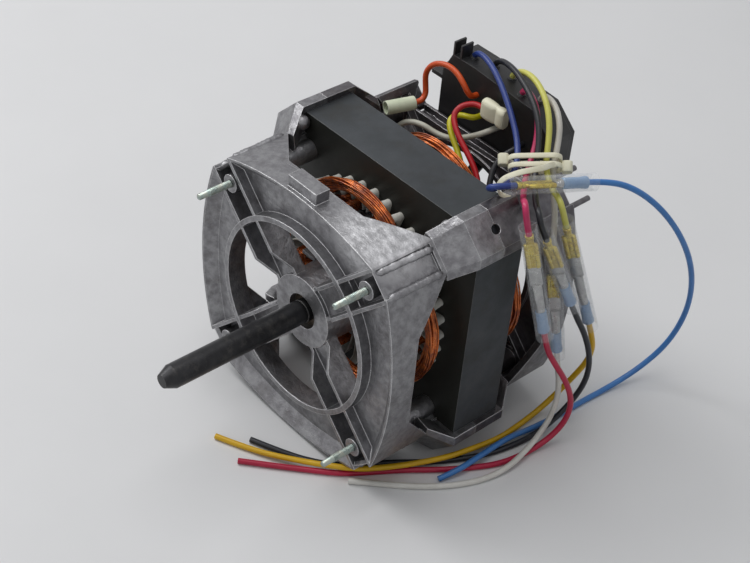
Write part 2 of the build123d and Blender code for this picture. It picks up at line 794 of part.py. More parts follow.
# Governor
BASE_Y = STACK_REAR + BASE_GAP
BASE_BACK = BASE_Y + BASE_PLATE
PIVOT_Y = BASE_BACK + PIVOT_REACH
GROOVE_HALF = FINGER_BALL_R + GROOVE_GAP
COLLAR_FRONT = PIVOT_Y - GROOVE_HALF - COLLAR_FRONT_FLANGE
COLLAR_BACK = PIVOT_Y + GROOVE_HALF + COLLAR_BODY + THRUST_FLANGE


def governor_base():
    body = sleeve(BASE_R, SHAFT_DIA / 2, BASE_Y, BASE_BACK)
    for side in (-1, 1):
        for x in (-EAR_HALF_GAP - EAR_WALL, EAR_HALF_GAP):
            z0, z1 = sorted((side * (PIVOT_R - EAR_HALF), side * (PIVOT_R + EAR_HALF)))
            body += block(x, x + EAR_WALL, BASE_BACK - 0.5, PIVOT_Y + EAR_HALF, z0, z1)
        reach = EAR_HALF_GAP + EAR_WALL
        pin = Pos(0, PIVOT_Y, side * PIVOT_R) * Rot(0, 90, 0) * Cylinder(PIN_R, 2 * reach)
        body -= pin
    return body


def governor_pins():
    reach = EAR_HALF_GAP + EAR_WALL
    pins = [Pos(0, PIVOT_Y, side * PIVOT_R) * Rot(0, 90, 0) * Cylinder(PIN_R, 2 * reach)
            for side in (-1, 1)]
    return Compound(pins)


def governor_weight(side):
    """Weight with its finger, drawn for the upper side and turned for the lower one."""
    mass_y = PIVOT_Y - WEIGHT_LENGTH
    body = block(-WEIGHT_HALF, WEIGHT_HALF, mass_y, PIVOT_Y, WEIGHT_LOW_R, WEIGHT_HIGH_R)
    body += Pos(0, PIVOT_Y, PIVOT_R) * Rot(0, 90, 0) * Cylinder(PIN_R + 1.3, 2 * WEIGHT_HALF)
    ball_z = PIVOT_R - FINGER_REACH
    body += block(-FINGER_HALF, FINGER_HALF, PIVOT_Y - FINGER_WALL / 2, PIVOT_Y + FINGER_WALL / 2,
                  ball_z, PIVOT_R)
    body += Pos(0, PIVOT_Y, ball_z) * Rot(0, 90, 0) * Cylinder(FINGER_BALL_R, 2 * FINGER_HALF)
    hole_r = PIN_R + RUNNING_GAP
    body -= Pos(0, PIVOT_Y, PIVOT_R) * Rot(0, 90, 0) * Cylinder(hole_r, 3 * WEIGHT_HALF)
    return body if side > 0 else Rot(0, 180, 0) * body


def governor_collar():
    bore = SHAFT_DIA / 2 + COLLAR_BORE_GAP
    flange_end = COLLAR_FRONT + COLLAR_FRONT_FLANGE
    groove_end = PIVOT_Y + GROOVE_HALF
    body = rod(COLLAR_FLANGE_R, COLLAR_FRONT, flange_end)
    body += rod(COLLAR_R, flange_end, groove_end)
    body += rod(COLLAR_FLANGE_R, groove_end, COLLAR_BACK - THRUST_FLANGE)
    body += rod(THRUST_FLANGE_R, COLLAR_BACK - THRUST_FLANGE, COLLAR_BACK)
    return body - rod(bore, COLLAR_FRONT - 1, COLLAR_BACK + 1)


def governor_spring():
    """Compression spring between the base plate and the collar."""
    low = BASE_BACK + SPRING_WIRE / 2 + SPRING_END_GAP
    height = COLLAR_FRONT - SPRING_WIRE / 2 - SPRING_END_GAP - low
    pitch = height / SPRING_CURLS
    helix = Helix(pitch=pitch, height=height, radius=SPRING_R)
    start = Plane(origin=helix @ 0, z_dir=helix % 0)
    coil = sweep(start * Circle(SPRING_WIRE / 2), path=helix, is_frenet=True)
    print("spring curls", SPRING_CURLS, "least gap", round(pitch - SPRING_WIRE, 2))
    return Pos(0, low, 0) * Rot(-90, 0, 0) * coil


# Start switch
SWITCH_FRONT = REAR_PLANE + SWITCH_STAND_OFF
SWITCH_BACK = SWITCH_FRONT + SWITCH_DEPTH
LEVER_PIVOT_Y = SWITCH_FRONT + LEVER_PIVOT_SET


def switch_outline():
    return polygon([
        (SWITCH_LEFT, SWITCH_FOOT_Z),
        (SWITCH_RIGHT - 4.0, SWITCH_FOOT_Z),
        (SWITCH_RIGHT, SWITCH_FOOT_Z + 9.0),
        (SWITCH_RIGHT, SWITCH_SHOULDER_Z),
        (SWITCH_RIGHT - SWITCH_CORNER, SWITCH_TOP_Z - SWITCH_TOP_FALL),
        (-SWITCH_CORNER, SWITCH_TOP_Z),
        (SWITCH_LEFT + SWITCH_NOTCH, SWITCH_TOP_Z),
        (SWITCH_LEFT, SWITCH_TOP_Z - 2 * SWITCH_NOTCH),
    ])


def switch_housing():
    outline = switch_outline()
    cavity = offset(outline, amount=-SWITCH_WALL, kind=Kind.INTERSECTION)
    body = slab(outline, SWITCH_FRONT, SWITCH_BACK)
    body -= slab(cavity, SWITCH_FRONT + SWITCH_WALL, SWITCH_BACK + 1)
    foot_low = SWITCH_SCREW_Z - SWITCH_BOSS_R
    for x in (-SWITCH_SCREW_X, SWITCH_SCREW_X):
        tab = block(x - SWITCH_BOSS_R, x + SWITCH_BOSS_R, SWITCH_FRONT, SWITCH_FRONT + SWITCH_TAB,
                    foot_low, SWITCH_FOOT_Z + 1)
        body += tab
        body -= rod(SWITCH_SCREW_R, SWITCH_FRONT - 1, SWITCH_FRONT + SWITCH_TAB + SWITCH_HEAD + 1,
                    x, SWITCH_SCREW_Z)
        body -= rod(SWITCH_HEAD_R + 0.3, SWITCH_FRONT + SWITCH_TAB, SWITCH_BACK + 1, x, SWITCH_SCREW_Z)

    # Ears for the lever pin and the slot where the lever goes in
    ear = LEVER_HALF + LEVER_EAR_GAP
    ear_low = LEVER_PIVOT_Z - LEVER_EAR_HALF
    for x in (-ear - LEVER_EAR, ear):
        body += block(x, x + LEVER_EAR, LEVER_PIVOT_Y - LEVER_EAR_HALF, LEVER_PIVOT_Y + LEVER_EAR_HALF,
                      ear_low, SWITCH_FOOT_Z + 1)
    reach = ear + LEVER_EAR
    body -= Pos(0, LEVER_PIVOT_Y, LEVER_PIVOT_Z) * Rot(0, 90, 0) * Cylinder(LEVER_PIN_R, 2 * reach)
    body -= block(-ear, ear, LEVER_PIVOT_Y - LEVER_SLOT, LEVER_PIVOT_Y + LEVER_SLOT,
                  SWITCH_FOOT_Z - 1, SWITCH_FOOT_Z + SWITCH_WALL + 1)

    # Side plate, two-pronged clip, and a raised ring under each lead
    plate_z = SWITCH_TOP_Z - 3 * SWITCH_NOTCH
    body += block(SWITCH_LEFT - SWITCH_PRONG, SWITCH_LEFT + 1, SWITCH_FRONT, SWITCH_BACK - SWITCH_WALL,
                  plate_z, plate_z + SWITCH_PLATE)
    prong_x = SWITCH_LEFT + SWITCH_NOTCH
    for x in (prong_x, prong_x + 2.2 * SWITCH_PLATE):
        body += block(x, x + SWITCH_PLATE / 2, SWITCH_FRONT, SWITCH_FRONT + SWITCH_DEPTH / 2,
                      SWITCH_TOP_Z - 1, SWITCH_TOP_Z + SWITCH_PRONG)
    for points in HARNESS_ROUTES.values():
        x, y, z = points[0]
        body += Pos(x, y, z - 2 * GROMMET) * Cylinder(GROMMET_R, 2 * GROMMET)
    return body


def switch_cover():
    """Back cover with its raised ribs, the side tab and the two-pronged lead clip."""
    body = slab(switch_outline(), SWITCH_BACK, SWITCH_BACK + SWITCH_COVER)
    for x in (-SWITCH_SCREW_X, SWITCH_SCREW_X):
        body -= rod(SWITCH_HEAD_R + 0.3, SWITCH_BACK - 1, SWITCH_BACK + SWITCH_COVER + 1,
                    x, SWITCH_SCREW_Z)
    return body


def lever_pin():
    reach = LEVER_HALF + LEVER_EAR_GAP + LEVER_EAR
    return Pos(0, LEVER_PIVOT_Y, LEVER_PIVOT_Z) * Rot(0, 90, 0) * Cylinder(LEVER_PIN_R, 2 * reach)


def side_plate(points, half):
    """Plate across the shaft plane, from (y, z) points, as wide as 2 * half in X."""
    plane = Plane(origin=(0, 0, 0), x_dir=(0, 1, 0), z_dir=(1, 0, 0))
    return extrude(plane * polygon(points), amount=half, both=True)


def switch_lever():
    pad_y = COLLAR_BACK + LEVER_GAP + LEVER_PAD_R
    t = LEVER_WALL / 2
    knee_z = HUB_R + 8.0
    arm = [
        (pad_y - t, LEVER_PAD_Z),
        (pad_y + t, LEVER_PAD_Z),
        (pad_y + t, knee_z),
        (LEVER_PIVOT_Y + t, LEVER_PIVOT_Z - 3.0),
        (LEVER_PIVOT_Y + t, LEVER_TAB_Z),
        (LEVER_PIVOT_Y - t, LEVER_TAB_Z),
        (LEVER_PIVOT_Y - t, LEVER_PIVOT_Z - 2.2),
        (pad_y - t, knee_z + 0.8),
    ]
    body = side_plate(arm, LEVER_HALF)
    turn = Rot(0, 90, 0)
    body += Pos(0, LEVER_PIVOT_Y, LEVER_PIVOT_Z) * turn * Cylinder(LEVER_PIN_R + 1.2, 2 * LEVER_HALF)
    body += Pos(0, pad_y, LEVER_PAD_Z) * turn * Cylinder(LEVER_PAD_R, 2 * LEVER_HALF)
    hole_r = LEVER_PIN_R + RUNNING_GAP
    body -= Pos(0, LEVER_PIVOT_Y, LEVER_PIVOT_Z) * turn * Cylinder(hole_r, 3 * LEVER_HALF)
    return body


def moving_contact():
    """Bridge carried on the front of the lever's tab, with a button at each end."""
    face = LEVER_PIVOT_Y - LEVER_WALL / 2
    z1 = LEVER_TAB_Z
    body = block(-CONTACT_REACH, CONTACT_REACH, face - CONTACT_STRIP, face, z1 - CONTACT_WIDTH, z1)
    for x in (-CONTACT_REACH + CONTACT_R + 0.5, CONTACT_REACH - CONTACT_R - 0.5):
        body += rod(CONTACT_R, face - CONTACT_STRIP - CONTACT_BUTTON, face - CONTACT_STRIP,
                    x, z1 - CONTACT_WIDTH / 2)
    return body


def fixed_contact():
    """Two strips on the housing wall, just in front of the bridge's buttons."""
    wall = SWITCH_FRONT + SWITCH_WALL
    button_y = LEVER_PIVOT_Y - LEVER_WALL / 2 - CONTACT_STRIP - CONTACT_BUTTON
    top = button_y - CONTACT_GAP
    strips = []
    for x in (-CONTACT_REACH + CONTACT_R + 0.5, CONTACT_REACH - CONTACT_R - 0.5):
        z = LEVER_TAB_Z - CONTACT_WIDTH / 2
        strips.append(block(x - 2.5, x + 2.5, wall, top, z - 4, z + 4))
    return Compound(strips)


def switch_screws():
    screws = []
    tab_back = SWITCH_FRONT + SWITCH_TAB
    tip = SWITCH_FRONT - SWITCH_SCREW_BITE + 0.5
    for x in (-SWITCH_SCREW_X, SWITCH_SCREW_X):
        screw = rod(SWITCH_SCREW_R, tip, tab_back, x, SWITCH_SCREW_Z)
        screw += rod(SWITCH_HEAD_R, tab_back, tab_back + SWITCH_HEAD, x, SWITCH_SCREW_Z)
        screw -= block(x - SWITCH_HEAD_R, x + SWITCH_HEAD_R, tab_back + SWITCH_HEAD - 0.8,
                       tab_back + SWITCH_HEAD + 1, SWITCH_SCREW_Z - 0.5, SWITCH_SCREW_Z + 0.5)
        screws.append(screw)
    return Compound(screws)


# Wires. The points were placed by hand from the photograph.
SPLICES = {
    "red": ((84.0, 72.4, 77.2), (93.0, 89.6, 4.6)),
    "black": ((84.8, 84.8, 68.0), (92.0, 109.7, 13.0)),
    "yellow": ((80.6, 104.5, 64.9), (92.0, 127.9, -9.5)),
    "white": ((79.2, 102.5, 40.0), (84.0, 115.2, -29.0)),
    "blue": ((62.5, 78.3, 86.0), (79.2, 125.0, 78.5)),
}

HARNESS_ROUTES = {
    "blue": [
        (-21.0, 136.5, 96.6),
        (-19.9, 136.2, 98.4),
        (-14.8, 135.0, 100.6),
        (-6.5, 132.8, 100.4),
        (3.0, 129.4, 98.0),
        (12.5, 125.6, 94.0),
        (22.0, 121.4, 89.2),
        (31.0, 116.8, 84.2),
        (38.5, 111.5, 79.8),
        (44.3, 105.2, 76.2),
        (49.3, 96.4, 74.6),
        (52.8, 86.5, 76.6),
        (53.9, 79.6, 78.6),
        (54.8, 73.8, 82.0),
        (58.0, 72.0, 85.3),
        (61.1, 74.5, 86.6),
        (64.2, 83.0, 85.3),
    ],
    "magenta": [
        (17.0, 134.0, 94.4),
        (18.5, 133.4, 97.2),
        (24.4, 131.4, 98.6),
        (31.6, 128.2, 96.8),
        (37.6, 124.4, 92.4),
        (42.4, 120.0, 87.0),
        (45.8, 115.2, 82.0),
        (49.0, 109.6, 78.0),
        (53.0, 103.0, 75.2),
        (58.8, 96.0, 74.0),
        (65.4, 88.8, 75.4),
        (70.8, 82.6, 79.8),
        (74.9, 77.6, 84.8),
        (78.6, 73.8, 88.2),
        (82.0, 71.2, 87.0),
        (83.5, 71.4, 81.4),
        (84.6, 73.5, 72.4),
    ],
    "black": [
        (-9.0, 140.0, 96.2),
        (-7.6, 139.6, 98.8),
        (-1.2, 137.8, 102.2),
        (8.5, 134.6, 103.8),
        (18.5, 130.8, 103.4),
        (28.2, 127.0, 101.2),
        (36.8, 123.2, 97.4),
        (43.8, 119.0, 92.0),
        (49.2, 114.2, 85.8),
        (53.6, 108.8, 80.0),
        (60.0, 102.2, 75.8),
        (67.2, 95.4, 75.0),
        (73.6, 89.0, 76.8),
        (78.8, 84.5, 79.0),
        (82.4, 82.3, 77.2),
        (84.2, 82.6, 72.8),
        (85.4, 86.8, 63.5),
    ],
    "yellow": [
        (4.0, 139.5, 95.4),
        (5.6, 139.3, 98.6),
        (12.4, 138.0, 103.2),
        (21.5, 135.2, 105.4),
        (31.5, 131.4, 104.4),
        (40.0, 127.4, 100.4),
        (46.4, 123.4, 94.2),
        (50.6, 119.4, 87.6),
        (54.6, 114.8, 81.2),
        (60.4, 110.9, 76.4),
        (67.4, 107.2, 74.6),
        (74.4, 104.0, 75.4),
        (79.4, 102.3, 72.8),
        (81.3, 106.0, 60.2),
    ],
    "white": [
        (26.0, 138.0, 93.6),
        (28.0, 137.2, 97.0),
        (34.5, 134.8, 100.0),
        (43.0, 131.6, 98.8),
        (49.8, 127.6, 93.4),
        (54.0, 122.8, 86.2),
        (57.4, 117.8, 79.0),
        (62.2, 113.4, 72.6),
        (68.4, 109.4, 67.0),
        (74.0, 105.4, 60.2),
        (77.6, 102.2, 51.6),
        (79.5, 103.4, 35.1),
    ],
}

PIGTAIL_ROUTES = {
    "blue": [
        (77.5, 120.3, 79.2),
        (82.5, 134.3, 77.0),
        (90.5, 147.0, 70.5),
        (98.2, 160.5, 57.0),
        (103.4, 174.5, 37.5),
        (105.8, 187.0, 15.0),
        (105.4, 196.0, -9.0),
        (102.6, 200.0, -33.0),
        (98.0, 196.0, -55.0),
        (92.5, 182.0, -69.5),
        (88.8, 163.0, -75.5),
        (87.4, 142.0, -75.5),
        (86.9, 121.0, -75.5),
        (84.9, 102.0, -75.5),
        (84.2, 87.0, -72.6),
        (85.1, 72.0, -71.4),
        (85.5, 58.0, -71.4),
        (84.8, 47.0, -72.7),
        (81.5, 37.0, -75.5),
    ],
    "yellow": [
        (91.3, 126.4, -4.8),
        (93.2, 130.4, -17.3),
        (93.2, 132.9, -27.5),
        (90.6, 133.4, -39.0),
        (86.0, 131.0, -51.5),
        (81.8, 125.0, -63.5),
        (79.3, 115.0, -72.3),
        (79.0, 101.0, -75.5),
        (80.2, 84.0, -74.6),
        (79.4, 67.0, -71.7),
        (75.5, 50.0, -71.7),
        (69.0, 34.0, -71.7),
        (61.5, 19.0, -71.7),
        (53.0, 5.5, -71.7),
        (40.5, -6.0, -71.7),
        (25.0, -16.5, -73.5),
        (6.0, -27.5, -75.5),
        (-14.3, -36.6, -75.5),
    ],
    "black": [
        (91.4, 107.7, 17.5),
        (93.1, 113.4, 4.9),
        (95.8, 118.4, -5.5),
        (97.8, 122.8, -18.0),
        (98.2, 126.3, -32.0),
        (96.6, 127.4, -46.5),
        (93.4, 124.0, -60.0),
        (90.8, 116.0, -70.3),
        (89.4, 103.5, -75.5),
        (88.4, 88.0, -75.5),
        (84.5, 71.0, -75.5),
        (77.5, 55.0, -75.5),
        (68.3, 40.0, -75.5),
        (58.5, 27.0, -75.5),
        (50.0, 13.5, -75.5),
        (41.2, 0.3, -75.5),
        (28.5, -9.5, -75.5),
        (14.0, -17.0, -75.5),
        (-1.0, -23.4, -75.5),
    ],
    "red": [
        (92.4, 88.5, 9.4),
        (94.1, 91.7, -4.3),
        (97.8, 96.0, -14.0),
        (101.4, 101.8, -25.0),
        (103.5, 107.3, -38.0),
        (103.3, 110.0, -51.5),
        (101.0, 108.2, -64.0),
        (98.2, 100.0, -73.0),
        (96.3, 86.0, -75.5),
        (93.2, 70.0, -75.5),
        (85.0, 54.5, -75.5),
        (75.5, 40.0, -75.5),
        (65.5, 27.0, -75.5),
        (56.8, 13.0, -75.5),
        (48.0, -0.5, -75.5),
        (36.0, -12.0, -75.5),
        (22.0, -25.0, -75.5),
        (7.3, -38.2, -75.5),
    ],
    "white": [
        (83.7, 114.3, -24.1),
        (84.5, 117.1, -37.5),
        (86.0, 118.6, -47.0),
        (88.6, 117.0, -57.0),
        (91.4, 110.5, -65.0),
        (94.2, 100.5, -69.2),
        (97.2, 87.5, -71.2),
        (99.0, 73.5, -73.6),
        (97.2, 59.5, -75.5),
        (92.5, 46.0, -75.5),
        (85.0, 33.0, -75.5),
        (75.5, 21.0, -75.5),
        (64.5, 9.5, -75.5),
        (53.5, -1.5, -75.5),
    ],
}

INNER_ROUTES = {
    "orange": [
        (-39.0, 113.0, 66.0),
        (-37.8, 116.8, 66.0),
        (-38.0, 120.4, 69.2),
        (-39.6, 120.8, 75.2),
        (-40.2, 120.6, 81.4),
        (-37.4, 121.2, 87.4),
        (-32.0, 122.0, 91.2),
        (-25.4, 122.6, 92.6),
        (-19.0, 122.4, 91.6),
        (-13.6, 122.0, 88.4),
        (-10.4, 122.6, 84.2),
        (-9.4, 125.2, 80.8),
        (-9.4, 129.2, 80.8),
    ],
    "red": [
        (26.5, 99.6, 48.4),
        (22.6, 103.6, 52.0),
        (17.2, 106.0, 56.6),
        (10.2, 107.4, 61.4),
        (2.8, 108.2, 66.0),
        (-4.2, 109.8, 70.2),
        (-9.4, 112.8, 74.2),
        (-9.4, 116.8, 77.8),
        (-6.6, 120.8, 79.8),
        (-2.8, 123.4, 80.4),
        (1.5, 123.4, 80.4),
    ],
    "yellow": [
        (13.6, 99.6, 50.6),
        (10.0, 103.8, 53.0),
        (4.6, 107.4, 55.6),
        (-2.0, 110.2, 58.8),
        (-8.8, 112.4, 62.4),
        (-14.4, 115.6, 65.8),
        (-15.4, 119.2, 68.2),
        (-12.2, 122.0, 69.4),
        (-7.4, 123.0, 70.2),
        (-4.6, 125.4, 70.4),
        (-4.6, 129.2, 70.4),
    ],
    "white": [
        (-41.0, 99.8, 41.0),
        (-41.6, 101.6, 48.4),
        (-39.4, 103.4, 55.4),
        (-33.8, 105.8, 60.0),
        (-26.6, 108.8, 60.4),
        (-19.6, 112.0, 57.4),
        (-12.4, 115.0, 57.0),
        (-4.8, 118.4, 60.4),
        (2.4, 120.8, 65.2),
        (7.2, 122.6, 69.4),
        (9.4, 125.2, 71.2),
        (9.4, 129.2, 71.2),
    ],
    "black": [
        (34.0, 99.8, 44.6),
        (30.4, 103.6, 49.0),
        (26.2, 107.8, 54.2),
        (23.4, 112.6, 59.6),
        (23.2, 117.6, 64.4),
        (25.6, 122.0, 67.8),
        (26.6, 125.6, 69.6),
        (26.6, 129.2, 69.6),
    ],
}


def wire_tube(label, points, diameter):
    """Tube along straight runs joined by tangent arcs, each as large as its runs allow."""
    nodes = [Vector(*point) for point in points]
    radii = []
    for before, here, after in zip(nodes, nodes[1:], nodes[2:]):
        turn = math.radians((here - before).get_angle(after - here))
        shorter = min((here - before).length, (after - here).length)
        radii.append(0.45 * shorter / math.tan(turn / 2))
    path = FilletPolyline(*points, radius=radii)
    start = Plane(origin=path @ 0, z_dir=path % 0)
    tube = sweep(start * Circle(diameter / 2), path=path)
    expected = math.pi * diameter ** 2 / 4 * path.length
    print(label, "length", round(path.length), "least radius", round(min(radii), 1),
          "volume ratio", round(tube.volume / expected, 4))
    return tube


def splice_frame(ends):
    """Plane at the top end of a splice, looking along it, and its length."""
    top, bottom = Vector(*ends[0]), Vector(*ends[1])
    along = (bottom - top).normalized()
    side = Vector(*FLAT_SIDE)
    side = (side - along * side.dot(along)).normalized()
    return Plane(origin=top, x_dir=side, z_dir=along), (bottom - top).length


def splice_parts(ends):
    """Clear sleeve, female terminal, male terminal and its insulating barrel."""
    plane, length = splice_frame(ends)

    def along(sketch, start, end):
        return extrude(plane.offset(start) * sketch, amount=end - start)

    clear = along(Circle(SPLICE_R) - Circle(SPLICE_R - SPLICE_WALL), 0, length)
    box_start = SPLICE_INSET + CRIMP
    box_end = box_start + RECEPTACLE
    female = along(Circle(CRIMP_R), SPLICE_INSET, box_start)
    female += along(Rectangle(RECEPTACLE_WIDTH, RECEPTACLE_DEPTH), box_start, box_end)
    slot = Rectangle(BLADE_WIDTH + BLADE_GAP, BLADE + BLADE_GAP)
    female -= along(slot, box_start + RECEPTACLE_END, box_end + 1)
    barrel_end = length - SPLICE_INSET
    barrel_start = barrel_end - BARREL
    neck_start = barrel_start - BARREL_NECK
    male = along(Rectangle(BLADE_WIDTH, BLADE), box_end - BLADE_INSERT, neck_start + BARREL_LAP)
    male += along(Circle(CRIMP_R), neck_start, barrel_start)
    barrel = along(Circle(BARREL_R), barrel_start, barrel_end)
    return clear, female, male, barrel


def cable_ties():
    """Two nylon ties side by side, with their heads at opposite ends."""
    across = Vector(*TIE_ACROSS)
    along = Vector(*TIE_ALONG)
    along = (along - across * along.dot(across)).normalized()
    inner = RectangleRounded(2 * TIE_HALF, 2 * TIE_HALF_DEPTH, TIE_CORNER)
    outer = RectangleRounded(2 * (TIE_HALF + TIE_WALL), 2 * (TIE_HALF_DEPTH + TIE_WALL),
                             TIE_CORNER + TIE_WALL)
    ties = []
    for side in (-1, 1):
        centre = Vector(*TIE_CENTRE) + along * (side * TIE_STEP / 2)
        plane = Plane(origin=centre, x_dir=across, z_dir=along)
        band = extrude(plane * (outer - inner), amount=TIE_WIDTH / 2, both=True)
        reach = TIE_HALF + TIE_WALL / 2 + TIE_HEAD / 2
        head = extrude(plane * Pos(side * reach, 0) * Rectangle(TIE_HEAD, TIE_HEAD),
                       amount=TIE_HEAD_WIDTH / 2, both=True)
        ties.append(band + head)
    return Compound(ties)


def protector_parts():
    """Sleeve of the overload protector, and the protector with its stub inside."""
    front, back = Vector(*PROTECTOR_FRONT), Vector(*PROTECTOR_BACK)
    along = (back - front).normalized()
    length = (back - front).length
    plane = Plane(origin=front, z_dir=along)
    tube = extrude(plane * (Circle(PROTECTOR_SLEEVE_R) - Circle(PROTECTOR_R)), amount=length)
    can_end = length - PROTECTOR_INSET
    can = extrude(plane.offset(PROTECTOR_INSET) * Circle(PROTECTOR_R),
                  amount=can_end - PROTECTOR_INSET)
    can += extrude(plane.offset(can_end) * Circle(PROTECTOR_STUB_R), amount=PROTECTOR_INSET)
    return tube, can


def lead_sleeve():
    x1 = LEAD_SLEEVE_LEFT + LEAD_SLEEVE_LENGTH
    y1 = SWITCH_FRONT - LEAD_SLEEVE_STAND_OFF
    body = block(LEAD_SLEEVE_LEFT, x1, y1 - LEAD_SLEEVE_DEPTH, y1,
                 LEAD_SLEEVE_LOW, LEAD_SLEEVE_LOW + LEAD_SLEEVE_HEIGHT)
    return fillet(body.edges().filter_by(Axis.X), LEAD_SLEEVE_CORNER)


def switch_terminals():
    """Flat tabs: four on the back cover, one on the front under the lead sleeve."""
    half = TAB_WIDTH / 2
    back = SWITCH_BACK + SWITCH_COVER
    tabs = [block(x - half, x + half, back, back + TAB_REACH, TERMINAL_Z, TERMINAL_Z + TAB_WALL)
            for x in TERMINAL_X]
    x = LEAD_SLEEVE_LEFT + LEAD_SLEEVE_LENGTH / 2
    z = LEAD_SLEEVE_LOW + LEAD_SLEEVE_HEIGHT / 2
    tabs.append(block(x - half, x + half, SWITCH_FRONT - LEAD_SLEEVE_STAND_OFF, SWITCH_FRONT,
                      z, z + TAB_WALL))
    return Compound(tabs)


parts = {}
parts["front_shield"] = front_shield()
parts["rear_shield"] = rear_shield()
parts["stator_core"] = stator_core()
parts["slot_liners"] = slot_liners()
parts["main_winding"] = main_winding()
parts["start_winding"] = start_winding()
parts["rotor_core"] = rotor_core()
parts["rotor_cage"] = rotor_cage()
parts["shaft"] = shaft()
front_seat = HUB_SET_BACK + HUB_LIP
bearing, felt, retainer = bearing_set(front_seat, 1, BEARING)
parts["front_bearing"] = bearing
parts["front_felt_wick"] = felt
parts["front_bearing_retainer"] = retainer
rear_seat = REAR_PLANE - REAR_SET_BACK - REAR_HUB_LIP
bearing, felt, retainer = bearing_set(rear_seat, -1, REAR_BEARING)
parts["rear_bearing"] = bearing
parts["rear_felt_wick"] = felt
parts["rear_bearing_retainer"] = retainer
parts["front_thrust_washer"] = thrust_washer(FRONT_HUB_END + WASHER_PLAY)
parts["rear_thrust_washer"] = thrust_washer(REAR_HUB_END - WASHER_PLAY - WASHER)
parts["through_bolts"] = through_bolts()
parts["governor_base"] = governor_base()
parts["governor_pins"] = governor_pins()
parts["governor_weight_upper"] = governor_weight(1)
parts["governor_weight_lower"] = governor_weight(-1)
parts["governor_collar"] = governor_collar()
parts["governor_spring"] = governor_spring()
parts["switch_housing"] = switch_housing()
parts["switch_cover"] = switch_cover()
parts["switch_lever"] = switch_lever()
parts["lever_pin"] = lever_pin()
parts["moving_contact"] = moving_contact()
parts["fixed_contact"] = fixed_contact()
parts["switch_screws"] = switch_screws()
parts["switch_terminals"] = switch_terminals()
sleeve_tube, protector = protector_parts()
parts["protector_sleeve"] = sleeve_tube
parts["overload_protector"] = protector
parts["lead_sleeve"] = lead_sleeve()
parts["cable_ties"] = cable_ties()
groups = {"sleeves": [], "female_terminals": [], "male_terminals": [], "barrels": []}
for ends in SPLICES.values():
    for group, piece in zip(groups.values(), splice_parts(ends)):
        group.append(piece)
for group, pieces in groups.items():
    parts[f"splice_{group}"] = Compound(pieces)
for prefix, routes in (
    ("inner_lead", INNER_ROUTES), ("harness_lead", HARNESS_ROUTES), ("pigtail", PIGTAIL_ROUTES),
):
    for colour, points in routes.items():
        label = f"{prefix}_{colour}"
        parts[label] = wire_tube(label, points, WIRE_DIA)

os.makedirs("parts", exist_ok=True)
for name, shape in parts.items():
    export_step(shape, f"parts/{name}.step")
    print(name, len(shape.solids()), round(shape.volume))
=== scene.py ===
"""A washing machine motor with its start switch, spliced leads and free pigtails.

The scene is in metres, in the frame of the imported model: +Z is up, the shaft lies along Y
and points to the front, -Y. The origin is on the shaft, in the plane of the stud bosses.
The pieces' own sizes are written in millimetres, and MM turns them into metres.
"""
import logging
import math
import random
from dataclasses import dataclass
from enum import Enum
from typing import Any

import bmesh
import bpy
from mathutils import Matrix, Vector


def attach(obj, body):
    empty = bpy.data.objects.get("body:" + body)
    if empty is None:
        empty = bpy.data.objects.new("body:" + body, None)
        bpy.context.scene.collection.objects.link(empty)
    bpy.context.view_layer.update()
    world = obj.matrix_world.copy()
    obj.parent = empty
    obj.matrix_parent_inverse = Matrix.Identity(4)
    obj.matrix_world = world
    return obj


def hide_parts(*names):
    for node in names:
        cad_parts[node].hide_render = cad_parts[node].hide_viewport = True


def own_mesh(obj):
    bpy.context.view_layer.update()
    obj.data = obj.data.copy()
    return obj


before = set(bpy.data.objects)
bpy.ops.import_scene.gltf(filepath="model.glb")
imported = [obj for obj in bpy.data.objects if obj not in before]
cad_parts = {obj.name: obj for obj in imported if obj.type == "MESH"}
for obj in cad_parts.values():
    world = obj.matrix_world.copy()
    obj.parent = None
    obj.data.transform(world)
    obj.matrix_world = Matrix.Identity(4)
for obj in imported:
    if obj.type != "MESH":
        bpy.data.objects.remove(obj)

Rgb = tuple[float, float, float]
Point = tuple[float, float, float]
Outline = list[tuple[float, float]]
Rows = tuple[tuple[float, float, float, float], ...]
Socket = bpy.types.NodeSocket

LOG = logging.getLogger("motor")
MM = 0.001
NODES: dict[str, bpy.types.Object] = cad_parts
CORNERS = 4
CORNER_STEP = 90.0


class Body(Enum):
    """The bodies that the scene's own pieces ride on."""

    FRAME = "motor_frame"
    ROTOR = "rotor"


def linear_channel(value: float) -> float:
    """Turn one screen value from 0 to 255 into a linear share, by the sRGB curve."""
    share = value / 255
    return share / 12.92 if share <= 0.04045 else ((share + 0.055) / 1.055) ** 2.4


def linear(colour: Rgb) -> tuple[float, float, float, float]:
    """Turn a screen colour into the renderer's linear one, with an alpha of 1."""
    return (*(linear_channel(value) for value in colour), 1.0)


